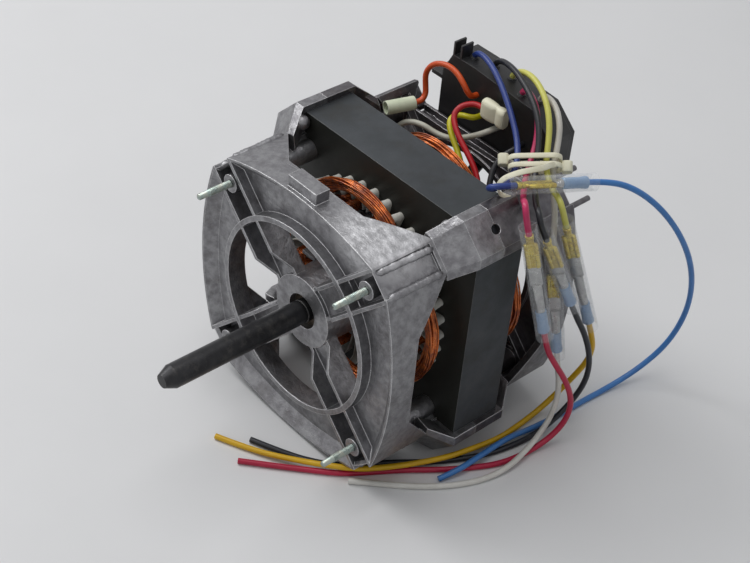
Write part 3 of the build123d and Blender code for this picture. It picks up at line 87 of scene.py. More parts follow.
class Graph:
    """A node tree that is built by name, one node at a time."""

    def __init__(self, tree: bpy.types.NodeTree) -> None:
        """Keep the tree and empty it."""
        self.tree = tree
        tree.nodes.clear()

    def add(self, kind: str, inputs: dict[Any, Any] | None = None,
            **settings: Any) -> bpy.types.Node:
        """Add a node and set or link its inputs.

        Args:
            kind: The node's type.
            inputs: Input name or number, with a value or the output to link.
            **settings: Properties of the node itself.

        Returns:
            The new node.
        """
        node = self.tree.nodes.new(kind)
        for name, value in settings.items():
            setattr(node, name, value)
        for name, value in (inputs or {}).items():
            socket = node.inputs[name]
            if isinstance(value, bpy.types.NodeSocket):
                self.tree.links.new(value, socket)
            else:
                socket.default_value = value
        return node

    def calculate(self, operation: str, *values: Any) -> Socket:
        """Work out one operation on values or outputs and return the output."""
        return self.add("ShaderNodeMath", dict(enumerate(values)), operation=operation).outputs[0]

    def noise(self, place: Socket, scale: float, detail: float, roughness: float = 0.5) -> Socket:
        """Return a cloudy pattern's strength at each place."""
        return self.add("ShaderNodeTexNoise", {
            "Vector": place, "Scale": scale, "Detail": detail, "Roughness": roughness,
        }).outputs["Fac"]

    def blend(self, factor: Any, first: Any, second: Any) -> Socket:
        """Mix two colours by a factor and return the output."""
        node = self.add("ShaderNodeMix", {0: factor, 6: first, 7: second}, data_type="RGBA")
        return node.outputs[2]

    def remap(self, value: Any, span: tuple[float, float], low: float, high: float) -> Socket:
        """Spread a value over another span.

        Args:
            value: The value or output to spread.
            span: The two values that become low and high.
            low: Result at the span's start, and before it.
            high: Result at the span's end, and past it.

        Returns:
            The output with the result.
        """
        return self.add("ShaderNodeMapRange", {
            "Value": value, "From Min": span[0], "From Max": span[1],
            "To Min": low, "To Max": high,
        }).outputs["Result"]


@dataclass(frozen=True)
class Pattern:
    """Values that all finishes share: where a pattern starts and ends, and how strong it is."""

    stain: tuple[float, float] = (0.52, 0.7)
    stain_most: float = 0.75
    end_face: tuple[float, float] = (0.6, 0.8)
    # Span of the edges' lightening, which is partly wear and partly painted highlight.
    edge_wear_and_highlight_span: tuple[float, float] = (0.985, 0.82)
    gloss: tuple[float, float] = (0.3, 0.7)
    gloss_low: float = 0.82
    gloss_high: float = 1.18
    mottle: tuple[float, float] = (0.38, 0.6)
    mottle_least: float = 0.25
    # Size and strength of the painted patch of light.
    painted_light_core: float = 0.6
    painted_light_most: float = 0.85
    rim_blend: float = 0.3
    line_wobble: float = 0.4
    edge_samples: int = 6


PATTERN = Pattern()


@dataclass(frozen=True)
class Finish:
    """A procedural finish: patches of two colours, fine grain and rounded-looking edges."""

    name: str
    colour: Rgb
    shade: Rgb
    metallic: float = 0.0
    roughness: float = 0.5
    patch_scale: float = 60.0
    patch_spread: float = 0.16
    grain_scale: float = 1400.0
    grain: float = 0.00006
    dents_scale: float = 0.0
    dents: float = 0.0
    edge: float = 0.0
    # Colour that the edges are lightened to: partly wear, partly painted highlight.
    edge_wear_and_highlight_colour: Rgb | None = None
    stain_colour: Rgb | None = None
    stain_scale: float = 25.0
    line_scale: float = 0.0
    line_depth: float = 0.0
    coat: float = 0.0
    specular: float = 0.5
    alpha: float = 1.0
    rim_alpha: float = 0.0
    end_colour: Rgb | None = None
    # Centre and radius of a painted patch of light where a facet catches the lamp, and its colour.
    painted_light: tuple[Point, float] | None = None
    painted_light_colour: Rgb = (200, 200, 202)

    def build(self) -> bpy.types.Material:
        """Build the material.

        Returns:
            A new material of this finish.
        """
        material = bpy.data.materials.new(self.name)
        material.use_nodes = True
        graph = Graph(material.node_tree)
        place = graph.add("ShaderNodeTexCoord").outputs["Object"]
        patches = graph.noise(place, self.patch_scale, 6.0, 0.62)
        normal = self._edges(graph)
        opacity: Any = self.alpha
        if self.rim_alpha:
            facing = graph.add("ShaderNodeLayerWeight", {"Blend": PATTERN.rim_blend})
            opacity = graph.remap(facing.outputs["Facing"], (0.0, 1.0), self.alpha, self.rim_alpha)
        shader = graph.add("ShaderNodeBsdfPrincipled", {
            "Base Color": self._colours(graph, place, patches, normal),
            "Roughness": graph.remap(patches, PATTERN.gloss, self.roughness * PATTERN.gloss_low,
                                     self.roughness * PATTERN.gloss_high),
            "Metallic": self.metallic, "Coat Weight": self.coat,
            "Specular IOR Level": self.specular, "Alpha": opacity,
        })
        bumped = self._relief(graph, place, normal)
        if bumped is not None:
            graph.tree.links.new(bumped, shader.inputs["Normal"])
        graph.add("ShaderNodeOutputMaterial", {"Surface": shader.outputs["BSDF"]})
        return material

    def _colours(self, graph: Graph, place: Socket, patches: Socket,
                 normal: Socket | None) -> Socket:
        """Lay stains, end faces, a painted patch of light, and edges lightened by wear and painted
        highlight, over the patches.

        Args:
            graph: The material's tree.
            place: Places on the piece.
            patches: Strength of the patches.
            normal: Normal with round edges, if the finish has them.

        Returns:
            The output with the colour.
        """
        middle = (0.5 - self.patch_spread, 0.5 + self.patch_spread)
        colour = graph.blend(graph.remap(patches, middle, 0.0, 1.0), linear(self.colour),
                             linear(self.shade))
        if self.stain_colour:
            stain = graph.noise(place, self.stain_scale, 8.0, 0.7)
            amount = graph.remap(stain, PATTERN.stain, 0.0, PATTERN.stain_most)
            colour = graph.blend(amount, colour, linear(self.stain_colour))
        if self.end_colour:
            facing = graph.add("ShaderNodeTexCoord").outputs["Normal"]
            split = graph.add("ShaderNodeSeparateXYZ", {0: facing})
            flat = graph.calculate("ABSOLUTE", split.outputs["Y"])
            colour = graph.blend(graph.remap(flat, PATTERN.end_face, 0.0, 1.0), colour,
                                 linear(self.end_colour))
        # Painted light: a brighter patch where a facet of the front casting catches the lamp.
        if self.painted_light:
            colour = graph.blend(self._painted_light_share(graph, place, patches), colour,
                                 linear(self.painted_light_colour))
        # Edges are lightened, partly as real wear and partly as painted highlight along sharp
        # edges.
        if self.edge_wear_and_highlight_colour and normal is not None:
            colour = graph.blend(self._edge_wear_and_highlight(graph, normal), colour, linear(self.edge_wear_and_highlight_colour))
        return colour

    def _painted_light_share(self, graph: Graph, place: Socket, patches: Socket) -> Socket:
        """Work out how far a point is inside the painted patch of light, where a facet of the
        casting catches the lamp.

        Args:
            graph: The material's tree.
            place: Places on the piece.
            patches: Strength of the patches, which break up the area.

        Returns:
            The output with the share of painted light.
        """
        centre, radius = self.painted_light
        away = graph.add("ShaderNodeVectorMath", {
            0: place, 1: tuple(value * MM for value in centre),
        }, operation="DISTANCE").outputs["Value"]
        core = (radius * MM * PATTERN.painted_light_core, radius * MM)
        return graph.calculate("MULTIPLY", graph.remap(away, core, PATTERN.painted_light_most, 0.0),
                               graph.remap(patches, PATTERN.mottle, PATTERN.mottle_least, 1.0))

    def _edges(self, graph: Graph) -> Socket | None:
        """Round the look of the edges.

        Args:
            graph: The material's tree.

        Returns:
            The new normal, or nothing where the finish has no such edges.
        """
        if not self.edge:
            return None
        return graph.add("ShaderNodeBevel", {"Radius": self.edge},
                         samples=PATTERN.edge_samples).outputs["Normal"]

    def _edge_wear_and_highlight(self, graph: Graph, normal: Socket) -> Socket:
        """Find the edges that are lightened, partly as wear and partly as painted highlight.

        Args:
            graph: The material's tree.
            normal: Normal with round edges.

        Returns:
            The output with the lightening, from 0 on a face to 1 on a corner.
        """
        flat = graph.add("ShaderNodeNewGeometry").outputs["Normal"]
        turn = graph.add("ShaderNodeVectorMath", {0: normal, 1: flat}, operation="DOT_PRODUCT")
        return graph.remap(turn.outputs["Value"], PATTERN.edge_wear_and_highlight_span, 0.0, 1.0)

    def _relief(self, graph: Graph, place: Socket, normal: Socket | None) -> Socket | None:
        """Add the dents, grain and lines to the normal.

        Args:
            graph: The material's tree.
            place: Places on the piece.
            normal: Normal to start from, if there is one.

        Returns:
            The new normal, or the given one where the finish is plain.
        """
        layers: list[tuple[Socket, float]] = []
        if self.dents:
            layers.append((graph.noise(place, self.dents_scale, 3.0), self.dents))
        if self.grain:
            layers.append((graph.noise(place, self.grain_scale, 2.0), self.grain))
        if self.line_depth:
            lines = graph.add("ShaderNodeTexWave", {
                "Vector": place, "Scale": self.line_scale, "Distortion": PATTERN.line_wobble,
            }, bands_direction="Y").outputs["Fac"]
            layers.append((lines, self.line_depth))
        for height, depth in layers:
            inputs = {"Height": height, "Distance": depth, "Strength": 1.0}
            if normal is not None:
                inputs["Normal"] = normal
            normal = graph.add("ShaderNodeBump", inputs).outputs["Normal"]
        return normal


# The front casting carries a painted patch of light on its top facet.
CAST_FRONT = Finish("cast_front", (150, 150, 152), (124, 123, 126), metallic=0.85, roughness=0.38,
                    patch_scale=210, patch_spread=0.12, grain_scale=1100, grain=0.00016,
                    dents_scale=300, dents=0.00035, edge=0.0007, edge_wear_and_highlight_colour=(222, 222, 223),
                    stain_colour=(96, 93, 94), stain_scale=75,
                    painted_light=((41.0, 18.0, 68.0), 26.0), painted_light_colour=(214, 214, 216))
# The rear casting is the same cast aluminium as the front one, made darker: painted shade.
CAST_REAR_SHADED = Finish("cast_rear", (118, 116, 118), (94, 91, 94), metallic=0.85, roughness=0.34,
                   patch_scale=190, grain_scale=1000, grain=0.00014, dents_scale=260,
                   dents=0.0003, edge=0.0007, edge_wear_and_highlight_colour=(190, 188, 190),
                   stain_colour=(70, 66, 69), stain_scale=70)
LAMINATION = Finish("lamination", (62, 66, 70), (50, 54, 57), metallic=0.35, roughness=0.5,
                    patch_scale=45, grain_scale=2200, grain=0.00003, edge=0.0004,
                    edge_wear_and_highlight_colour=(120, 122, 122), stain_colour=(44, 43, 40), stain_scale=30,
                    line_scale=620, line_depth=0.00004, end_colour=(41, 42, 38))
CAGE = Finish("cage", (168, 168, 170), (140, 140, 143), metallic=0.85, roughness=0.45,
              dents_scale=300, dents=0.0001, edge=0.0004)
SLOT_PAPER = Finish("slot_paper", (214, 213, 206), (190, 188, 180), roughness=0.6,
                    patch_scale=220, grain_scale=2600, grain=0.00002)
COPPER = Finish("enamelled_copper", (222, 120, 50), (138, 62, 28), metallic=0.7, roughness=0.3,
                patch_scale=170, patch_spread=0.1, grain_scale=1800, grain=0.00002,
                stain_colour=(66, 32, 20), stain_scale=90, coat=0.5)
BLACK_SHAFT = Finish("black_shaft", (52, 52, 54), (34, 34, 36), metallic=0.55, roughness=0.38,
                     patch_scale=120, grain_scale=1500, grain=0.00003, edge=0.0004,
                     edge_wear_and_highlight_colour=(104, 103, 102), stain_colour=(72, 70, 68), stain_scale=160)
BRONZE = Finish("bronze", (84, 72, 58), (62, 54, 44), metallic=0.8, roughness=0.45)
FELT = Finish("felt", (126, 116, 96), (98, 90, 74), roughness=0.95, grain_scale=2600,
              grain=0.0002)
PRESSED_STEEL = Finish("pressed_steel", (166, 168, 168), (140, 142, 144), metallic=0.85,
                       roughness=0.35, edge=0.0003)
FIBRE = Finish("fibre", (112, 66, 40), (92, 52, 32), roughness=0.7)
ZINC = Finish("zinc_bolt", (150, 168, 164), (176, 178, 166), metallic=0.9, roughness=0.3,
              patch_scale=260, edge=0.0003, edge_wear_and_highlight_colour=(214, 220, 216),
              stain_colour=(104, 112, 104), stain_scale=200)
COLLAR_NYLON = Finish("collar_nylon", (206, 204, 194), (188, 184, 172), roughness=0.45,
                      edge=0.0003)
SPRING_WIRE = Finish("spring_wire", (164, 166, 168), (132, 134, 136), metallic=0.95,
                     roughness=0.28)
BLACK_MOULDING = Finish("black_moulding", (34, 34, 35), (25, 25, 26), roughness=0.46,
                        patch_scale=90, grain_scale=1900, grain=0.00004, edge=0.0005,
                        edge_wear_and_highlight_colour=(70, 70, 72))
BRASS = Finish("contact_brass", (214, 196, 84), (168, 142, 58), metallic=0.8, roughness=0.28,
               patch_scale=260, edge=0.0002, edge_wear_and_highlight_colour=(242, 230, 150))
TINNED = Finish("tinned", (188, 188, 186), (156, 156, 156), metallic=0.9, roughness=0.3,
                patch_scale=300, edge=0.0002)
NYLON = Finish("nylon", (232, 229, 206), (220, 215, 188), roughness=0.42, patch_scale=140,
               grain_scale=1800, grain=0.00002, edge=0.0004, edge_wear_and_highlight_colour=(246, 244, 234))
SLEEVE_NYLON = Finish("sleeve_nylon", (216, 222, 196), (200, 208, 180), roughness=0.38,
                      patch_scale=140, edge=0.0004, edge_wear_and_highlight_colour=(238, 240, 224))
CLEAR_SLEEVE = Finish("clear_sleeve", (236, 238, 240), (222, 226, 230), roughness=0.1,
                      specular=1.0, grain=0, alpha=0.03, rim_alpha=0.34)
BARREL_BLUE = Finish("barrel_blue", (150, 178, 208), (126, 160, 200), roughness=0.25,
                     specular=0.6, alpha=0.9)


def vinyl(name: str, colour: Rgb, shade: Rgb) -> Finish:
    """Return the soft gloss of a lead's insulation in one colour."""
    return Finish(name, colour, shade, roughness=0.34, patch_scale=70, patch_spread=0.2,
                  grain_scale=900, grain=0.00004, specular=0.45)


LEAD_FINISHES: dict[str, Finish] = {
    "inner_lead_orange": vinyl("lead_orange", (212, 84, 30), (190, 70, 24)),
    "inner_lead_red": vinyl("lead_inner_red", (190, 26, 36), (166, 22, 30)),
    "inner_lead_yellow": vinyl("lead_inner_yellow", (206, 198, 24), (186, 176, 20)),
    "inner_lead_white": vinyl("lead_inner_white", (206, 206, 194), (182, 180, 166)),
    "inner_lead_black": vinyl("lead_inner_black", (34, 34, 38), (26, 26, 30)),
    "harness_lead_blue": vinyl("lead_navy", (42, 66, 140), (36, 56, 120)),
    "harness_lead_magenta": vinyl("lead_magenta", (198, 48, 98), (176, 40, 86)),
    "harness_lead_black": vinyl("lead_harness_black", (30, 32, 38), (24, 25, 30)),
    "harness_lead_yellow": vinyl("lead_pale_yellow", (216, 214, 112), (196, 192, 92)),
    "harness_lead_white": vinyl("lead_harness_white", (212, 208, 200), (188, 184, 176)),
    "pigtail_blue": vinyl("lead_sky_blue", (66, 128, 196), (56, 112, 178)),
    "pigtail_yellow": vinyl("lead_yellow", (222, 176, 16), (204, 160, 12)),
    "pigtail_black": vinyl("lead_black", (32, 35, 42), (26, 28, 34)),
    "pigtail_red": vinyl("lead_crimson", (186, 26, 66), (166, 22, 58)),
    "pigtail_white": vinyl("lead_white", (224, 222, 216), (206, 203, 196)),
}


def new_object(name: str, data: bpy.types.ID) -> bpy.types.Object:
    """Make an object and link it into the scene.

    Args:
        name: The object's name.
        data: The mesh, curve, camera or lamp that it holds.

    Returns:
        The new object.
    """
    made = bpy.data.objects.new(name, data)
    bpy.context.scene.collection.objects.link(made)
    return made


def mesh_object(name: str, points: list[Point], faces: list[tuple[int, ...]],
                finish: bpy.types.Material | None = None, smooth: bool = True,
                edges: list[tuple[int, int]] | None = None) -> bpy.types.Object:
    """Make an object from points and faces in metres.

    Args:
        name: The object's name.
        points: Corners of the mesh.
        faces: Corner numbers of each face.
        finish: The material, if it has one.
        smooth: Whether the faces are shaded smooth.
        edges: Loose edges, for a mesh that is only lines.

    Returns:
        The new object.
    """
    mesh = bpy.data.meshes.new(name)
    mesh.from_pydata(points, edges or [], faces)
    mesh.update()
    for polygon in mesh.polygons:
        polygon.use_smooth = smooth
    if finish:
        mesh.materials.append(finish)
    return new_object(name, mesh)


def applied_mesh(source: bpy.types.Object) -> bpy.types.Mesh:
    """Apply an object's modifiers, and remove the object.

    Args:
        source: The object.

    Returns:
        Its plain mesh.
    """
    view = bpy.context.evaluated_depsgraph_get()
    mesh = bpy.data.meshes.new_from_object(source.evaluated_get(view), depsgraph=view)
    bpy.data.objects.remove(source)
    return mesh


def register(made: bpy.types.Object, node: str | None = None,
             body: Body = Body.FRAME) -> None:
    """Say what a piece rides on and stands for.

    Args:
        made: The piece.
        node: The solid that it replaces, if it does.
        body: The body that it rides on.
    """
    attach(made, body.value)
    if node:
        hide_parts(node)
    LOG.info("%s made", made.name)


def round_section(radius: float, sides: int = 20) -> Outline:
    """Return a circle's points, counter-clockwise."""
    return [(radius * math.cos(math.tau * i / sides), radius * math.sin(math.tau * i / sides))
            for i in range(sides)]


def box_section(width: float, height: float, corner: float, steps: int = 4) -> Outline:
    """Rectangle with round corners.

    Args:
        width: Size along the first axis.
        height: Size along the second axis.
        corner: Radius of the corners.
        steps: Faces round each corner.

    Returns:
        Its points, counter-clockwise, with as many for each rectangle.
    """
    points = []
    for quarter, (sx, sy) in enumerate(((1, 1), (-1, 1), (-1, -1), (1, -1))):
        for step in range(steps + 1):
            angle = math.pi / 2 * (quarter + step / steps)
            points.append((sx * (width / 2 - corner) + corner * math.cos(angle),
                           sy * (height / 2 - corner) + corner * math.sin(angle)))
    return points


def box_stations(base: float, rows: Rows) -> list[tuple[float, Outline]]:
    """Return rectangles past a base, from rows of distance, width, height and corner."""
    return [(base + away, box_section(width, height, corner))
            for away, width, height, corner in rows]


@dataclass(frozen=True)
class Place:
    """A place and a direction in millimetres, to build a small piece in."""

    origin: Vector
    across: Vector
    rise: Vector
    along: Vector

    @classmethod
    def between(cls, start: Point, end: Point, side: Point) -> "Place":
        """Place that starts at one point and looks at another.

        Args:
            start: The point that it starts at.
            end: The point that it looks at.
            side: Direction that its first axis leans to.

        Returns:
            The place.
        """
        along = (Vector(end) - Vector(start)).normalized()
        across = Vector(side)
        across = (across - along * across.dot(along)).normalized()
        return cls(Vector(start), across, along.cross(across), along)

    def at(self, x: float, y: float, z: float) -> Vector:
        """Return a point of this place in the frame."""
        return self.origin + self.across * x + self.rise * y + self.along * z


class Skin:
    """Collects lofts in millimetres and makes one mesh of them."""

    def __init__(self) -> None:
        """Start with no faces."""
        self.points: list[Vector] = []
        self.faces: list[tuple[int, ...]] = []

    def loft(self, rings: list[list[Vector]], ends: bool = True, closed: bool = False) -> None:
        """Skin from ring to ring.

        Args:
            rings: Rings of points, counter-clockwise seen from the last ring.
            ends: Whether the first and the last ring are closed with a face.
            closed: Whether the last ring joins the first one.
        """
        first, width = len(self.points), len(rings[0])
        for ring in rings:
            self.points += ring
        count = len(rings)
        for row in range(count if closed else count - 1):
            a0, b0 = first + row * width, first + (row + 1) % count * width
            for i in range(width):
                j = (i + 1) % width
                self.faces.append((a0 + i, a0 + j, b0 + j, b0 + i))
        if ends and not closed:
            self.faces.append(tuple(first + i for i in range(width - 1, -1, -1)))
            last = first + (count - 1) * width
            self.faces.append(tuple(last + i for i in range(width)))

    def bar(self, place: Place, stations: list[tuple[float, Outline]],
            shift: tuple[float, float] = (0.0, 0.0)) -> None:
        """Loft sections that stand at given distances along a place."""
        self.loft([[place.at(x + shift[0], y + shift[1], z) for x, y in section]
                   for z, section in stations])

    def tube(self, place: Place, end: float, outer: float, wall: float, sides: int = 28) -> None:
        """Add an open tube with a wall, from the start of a place.

        Args:
            place: Where it starts and points.
            end: Its length.
            outer: Its outer radius.
            wall: Its wall.
            sides: Faces round it.
        """
        inner = outer - wall
        profile = ((0.0, inner), (0.0, outer), (end, outer), (end, inner))
        self.loft([[place.at(x, y, z) for x, y in round_section(radius, sides)]
                   for z, radius in profile], closed=True)

    def ribbon(self, path: list[Vector], flat: Vector, width: float, wall: float) -> None:
        """Add a flat strap along a path.

        Args:
            path: Points of its middle line.
            flat: Direction that its width leans to.
            width: Its width.
            wall: Its thickness.
        """
        rings = []
        for i, here in enumerate(path):
            ahead = (path[min(i + 1, len(path) - 1)] - path[max(i - 1, 0)]).normalized()
            side = (flat - ahead * flat.dot(ahead)).normalized()
            up = ahead.cross(side)
            rings.append([here + side * x + up * y
                          for x, y in box_section(width, wall, wall * 0.4, 2)])
        self.loft(rings)

    def shape(self, name: str, finish: bpy.types.Material | None = None) -> bpy.types.Object:
        """Return an object in metres of all that was collected."""
        return mesh_object(name, [tuple(point * MM) for point in self.points], self.faces, finish)

    def build(self, name: str, finish: bpy.types.Material, node: str, slot: str) -> None:
        """Make the piece and say what it stands for.

        Args:
            name: Name of the piece.
            finish: Its material.
            node: The solid that it replaces.
            slot: Not used.
        """
        made = self.shape(name, finish)
        made.data.validate()
        made.data.set_sharp_from_angle(angle=math.radians(38))
        register(made, node)


class ShaftPattern:
    """Repeats one mesh round the shaft with a Geometry Nodes tree."""

    inputs = (("Count", "NodeSocketInt"), ("Step", "NodeSocketFloat"),
              ("Phase", "NodeSocketFloat"), ("Wire radius", "NodeSocketFloat"))
    wire_sides = 6

    def __init__(self, name: str, finish: bpy.types.Material, wire: bool = False) -> None:
        """Build the tree.

        Args:
            name: The tree's name.
            finish: The material that the copies get.
            wire: Whether the mesh is only lines, which become round wire.
        """
        self.tree = bpy.data.node_groups.new(name, "GeometryNodeTree")
        graph = Graph(self.tree)
        face = self.tree.interface
        face.new_socket("Geometry", in_out="INPUT", socket_type="NodeSocketGeometry")
        self.sockets: dict[str, str] = {
            label: face.new_socket(label, in_out="INPUT", socket_type=kind).identifier
            for label, kind in self.inputs
        }
        face.new_socket("Geometry", in_out="OUTPUT", socket_type="NodeSocketGeometry")
        given = graph.add("NodeGroupInput").outputs
        shape = given["Geometry"]
        if wire:
            shape = self._wire(graph, shape, given["Wire radius"])
        line = graph.add("GeometryNodeMeshLine", {
            "Count": given["Count"], "Offset": (0.0, 0.0, 0.0),
        })
        number = graph.add("GeometryNodeInputIndex").outputs["Index"]
        turn = graph.calculate("MULTIPLY_ADD", number, given["Step"], given["Phase"])
        about = graph.add("ShaderNodeCombineXYZ", {"Y": graph.calculate("MULTIPLY", turn, -1.0)})
        copies = graph.add("GeometryNodeInstanceOnPoints", {
            "Points": line.outputs["Mesh"], "Instance": shape,
            "Rotation": about.outputs["Vector"],
        })
        real = graph.add("GeometryNodeRealizeInstances", {
            "Geometry": copies.outputs["Instances"],
        })
        dressed = graph.add("GeometryNodeSetMaterial", {
            "Geometry": real.outputs["Geometry"], "Material": finish,
        })
        graph.add("NodeGroupOutput", {0: dressed.outputs["Geometry"]})

    def _wire(self, graph: Graph, lines: Socket, radius: Socket) -> Socket:
        """Turn lines into smooth round wire.

        Args:
            graph: The tree.
            lines: Geometry that is only lines.
            radius: Radius of the wire.

        Returns:
            The wire's geometry.
        """
        ring = graph.add("GeometryNodeCurvePrimitiveCircle", {
            "Resolution": self.wire_sides, "Radius": radius,
        })
        curve = graph.add("GeometryNodeMeshToCurve", {"Mesh": lines})
        tube = graph.add("GeometryNodeCurveToMesh", {
            "Curve": curve.outputs["Curve"], "Profile Curve": ring.outputs["Curve"],
        })
        smooth = graph.add("GeometryNodeSetShadeSmooth", {"Geometry": tube.outputs["Mesh"]})
        return smooth.outputs["Geometry"]

    def apply(self, source: bpy.types.Object, name: str, count: int = CORNERS,
              step: float = CORNER_STEP, phase: float = 0.0,
              wire_radius: float = 0.0) -> bpy.types.Object:
        """Repeat an object round the shaft and return the plain result.

        Args:
            source: The object to repeat, which is removed.
            name: Name of the result.
            count: Number of copies.
            step: Degrees between copies, from +X towards +Z.
            phase: Degrees that the first copy is turned.
            wire_radius: Radius of the wire, where the mesh is only lines.

        Returns:
            The new object.
        """
        modifier = source.modifiers.new("pattern", "NODES")
        modifier.node_group = self.tree
        modifier[self.sockets["Count"]] = count
        modifier[self.sockets["Step"]] = math.radians(step)
        modifier[self.sockets["Phase"]] = math.radians(phase)
        modifier[self.sockets["Wire radius"]] = wire_radius
        mesh = applied_mesh(source)
        mesh.name = name
        return new_object(name, mesh)


@dataclass(frozen=True)
class Lamp:
    """A soft round lamp, in metres and watts."""

    name: str
    place: Point
    size: float
    power: float


@dataclass(frozen=True)
class Studio:
    """Camera, pale floor and soft light, in metres and degrees."""

    camera_place: Point = (0.4581, -0.3980, 0.5256)
    azimuth: float = 45.16
    elevation: float = 39.41
    roll: float = 5.40
    lens: float = 75.41
    sensor: float = 36.0
    floor_z: float = -0.0771
    floor_half: float = 6.0
    paper: Finish = Finish("paper", (226, 226, 227), (222, 222, 223), roughness=0.75,
                           patch_scale=3, grain=0)
    backdrop: Rgb = (212, 212, 214)
    world_colour: tuple[float, float, float, float] = (0.96, 0.98, 1.0, 1.0)
    world_strength: float = 0.30
    lit_point: Point = (0.0, 0.06, 0.0)
    lamps: tuple[Lamp, ...] = (
        Lamp("ceiling", (-0.25, -0.1, 1.8), 1.5, 13.0),
        Lamp("left_window", (-1.25, -0.35, 1.2), 1.0, 11.0),
        Lamp("front_fill", (0.0, -1.6, 0.9), 1.0, 1.5),
    )

    def camera(self) -> None:
        """Place the camera where the photograph was taken from."""
        side, rise, roll = (math.radians(a) for a in (self.azimuth, self.elevation, self.roll))
        back = Vector((math.sin(side) * math.cos(rise), -math.cos(side) * math.cos(rise),
                       math.sin(rise)))
        level = Vector((math.cos(side), math.sin(side), 0.0))
        up = back.cross(level)
        across = level * math.cos(roll) + up * math.sin(roll)
        upright = -level * math.sin(roll) + up * math.cos(roll)
        data = bpy.data.cameras.new("camera")
        data.lens, data.sensor_width = self.lens, self.sensor
        data.clip_start, data.clip_end = 0.01, 50.0
        camera = new_object("camera", data)
        turn = Matrix((across, upright, back)).transposed().to_4x4()
        camera.matrix_world = Matrix.Translation(self.camera_place) @ turn
        bpy.context.scene.camera = camera

    def floor(self) -> None:
        """Lay the pale floor that the motor rests on."""
        half, low = self.floor_half, self.floor_z
        corners = [(-half, -half, low), (half, -half, low), (half, half, low), (-half, half, low)]
        mesh_object("floor", corners, [(0, 1, 2, 3)], self.paper.build(), smooth=False)

    def light(self) -> None:
        """Set the world, which looks paler to the eye than it lights, and the soft lamps."""
        world = bpy.data.worlds.new("studio")
        bpy.context.scene.world = world
        world.use_nodes = True
        graph = Graph(world.node_tree)
        rays = graph.add("ShaderNodeLightPath").outputs
        seen = graph.calculate("MAXIMUM", rays["Is Camera Ray"], rays["Is Glossy Ray"])
        seen = graph.calculate("MAXIMUM", seen, rays["Is Transmission Ray"])
        soft = graph.add("ShaderNodeBackground", {
            "Color": self.world_colour, "Strength": self.world_strength,
        })
        shown = graph.add("ShaderNodeBackground", {
            "Color": linear(self.backdrop), "Strength": 1.0,
        })
        both = graph.add("ShaderNodeMixShader", {
            0: seen, 1: soft.outputs[0], 2: shown.outputs[0],
        })
        graph.add("ShaderNodeOutputWorld", {"Surface": both.outputs[0]})
        for lamp in self.lamps:
            light = bpy.data.lights.new(lamp.name, "AREA")
            light.shape, light.size, light.energy = "DISK", lamp.size, lamp.power
            made = new_object(lamp.name, light)
            made.location = lamp.place
            aim = Vector(self.lit_point) - Vector(lamp.place)
            made.rotation_euler = aim.to_track_quat("-Z", "Y").to_euler()

    def build(self) -> None:
        """Set up everything round the motor."""
        bpy.context.scene.view_settings.view_transform = "Standard"
        self.camera()
        self.floor()
        self.light()
        LOG.info("studio ready")


class FarEnd(Enum):
    """How the far end of a lead is finished."""

    CONNECTOR = "connector"
    OBJECT = "object"
    BARE = "bare"


@dataclass(frozen=True)
class Lead:
    """One insulated lead: its length in metres and its route's points in millimetres."""

    node: str
    length: float
    far_end: FarEnd
    route: tuple[Point, ...]
    pieces: tuple[str, ...] = ()
    lay: str = "loose"
    diameter: float = 0.0032

    def build(self) -> None:
        """Make the lead as a smooth curve, and say what it is."""
        curve = bpy.data.curves.new(self.node + "_lead", "CURVE")
        curve.dimensions = "3D"
        curve.bevel_depth = self.diameter / 2
        curve.bevel_resolution = 3
        curve.resolution_u = 10
        curve.use_fill_caps = True
        spline = curve.splines.new("NURBS")
        spline.points.add(len(self.route) - 1)
        for point, place in zip(spline.points, self.route):
            point.co = (*(value * MM for value in place), 1.0)
        spline.order_u = 3
        spline.use_endpoint_u = True
        curve.materials.append(LEAD_FINISHES[self.node].build())
        made = new_object(self.node + "_lead", curve)
        register(made, self.node)


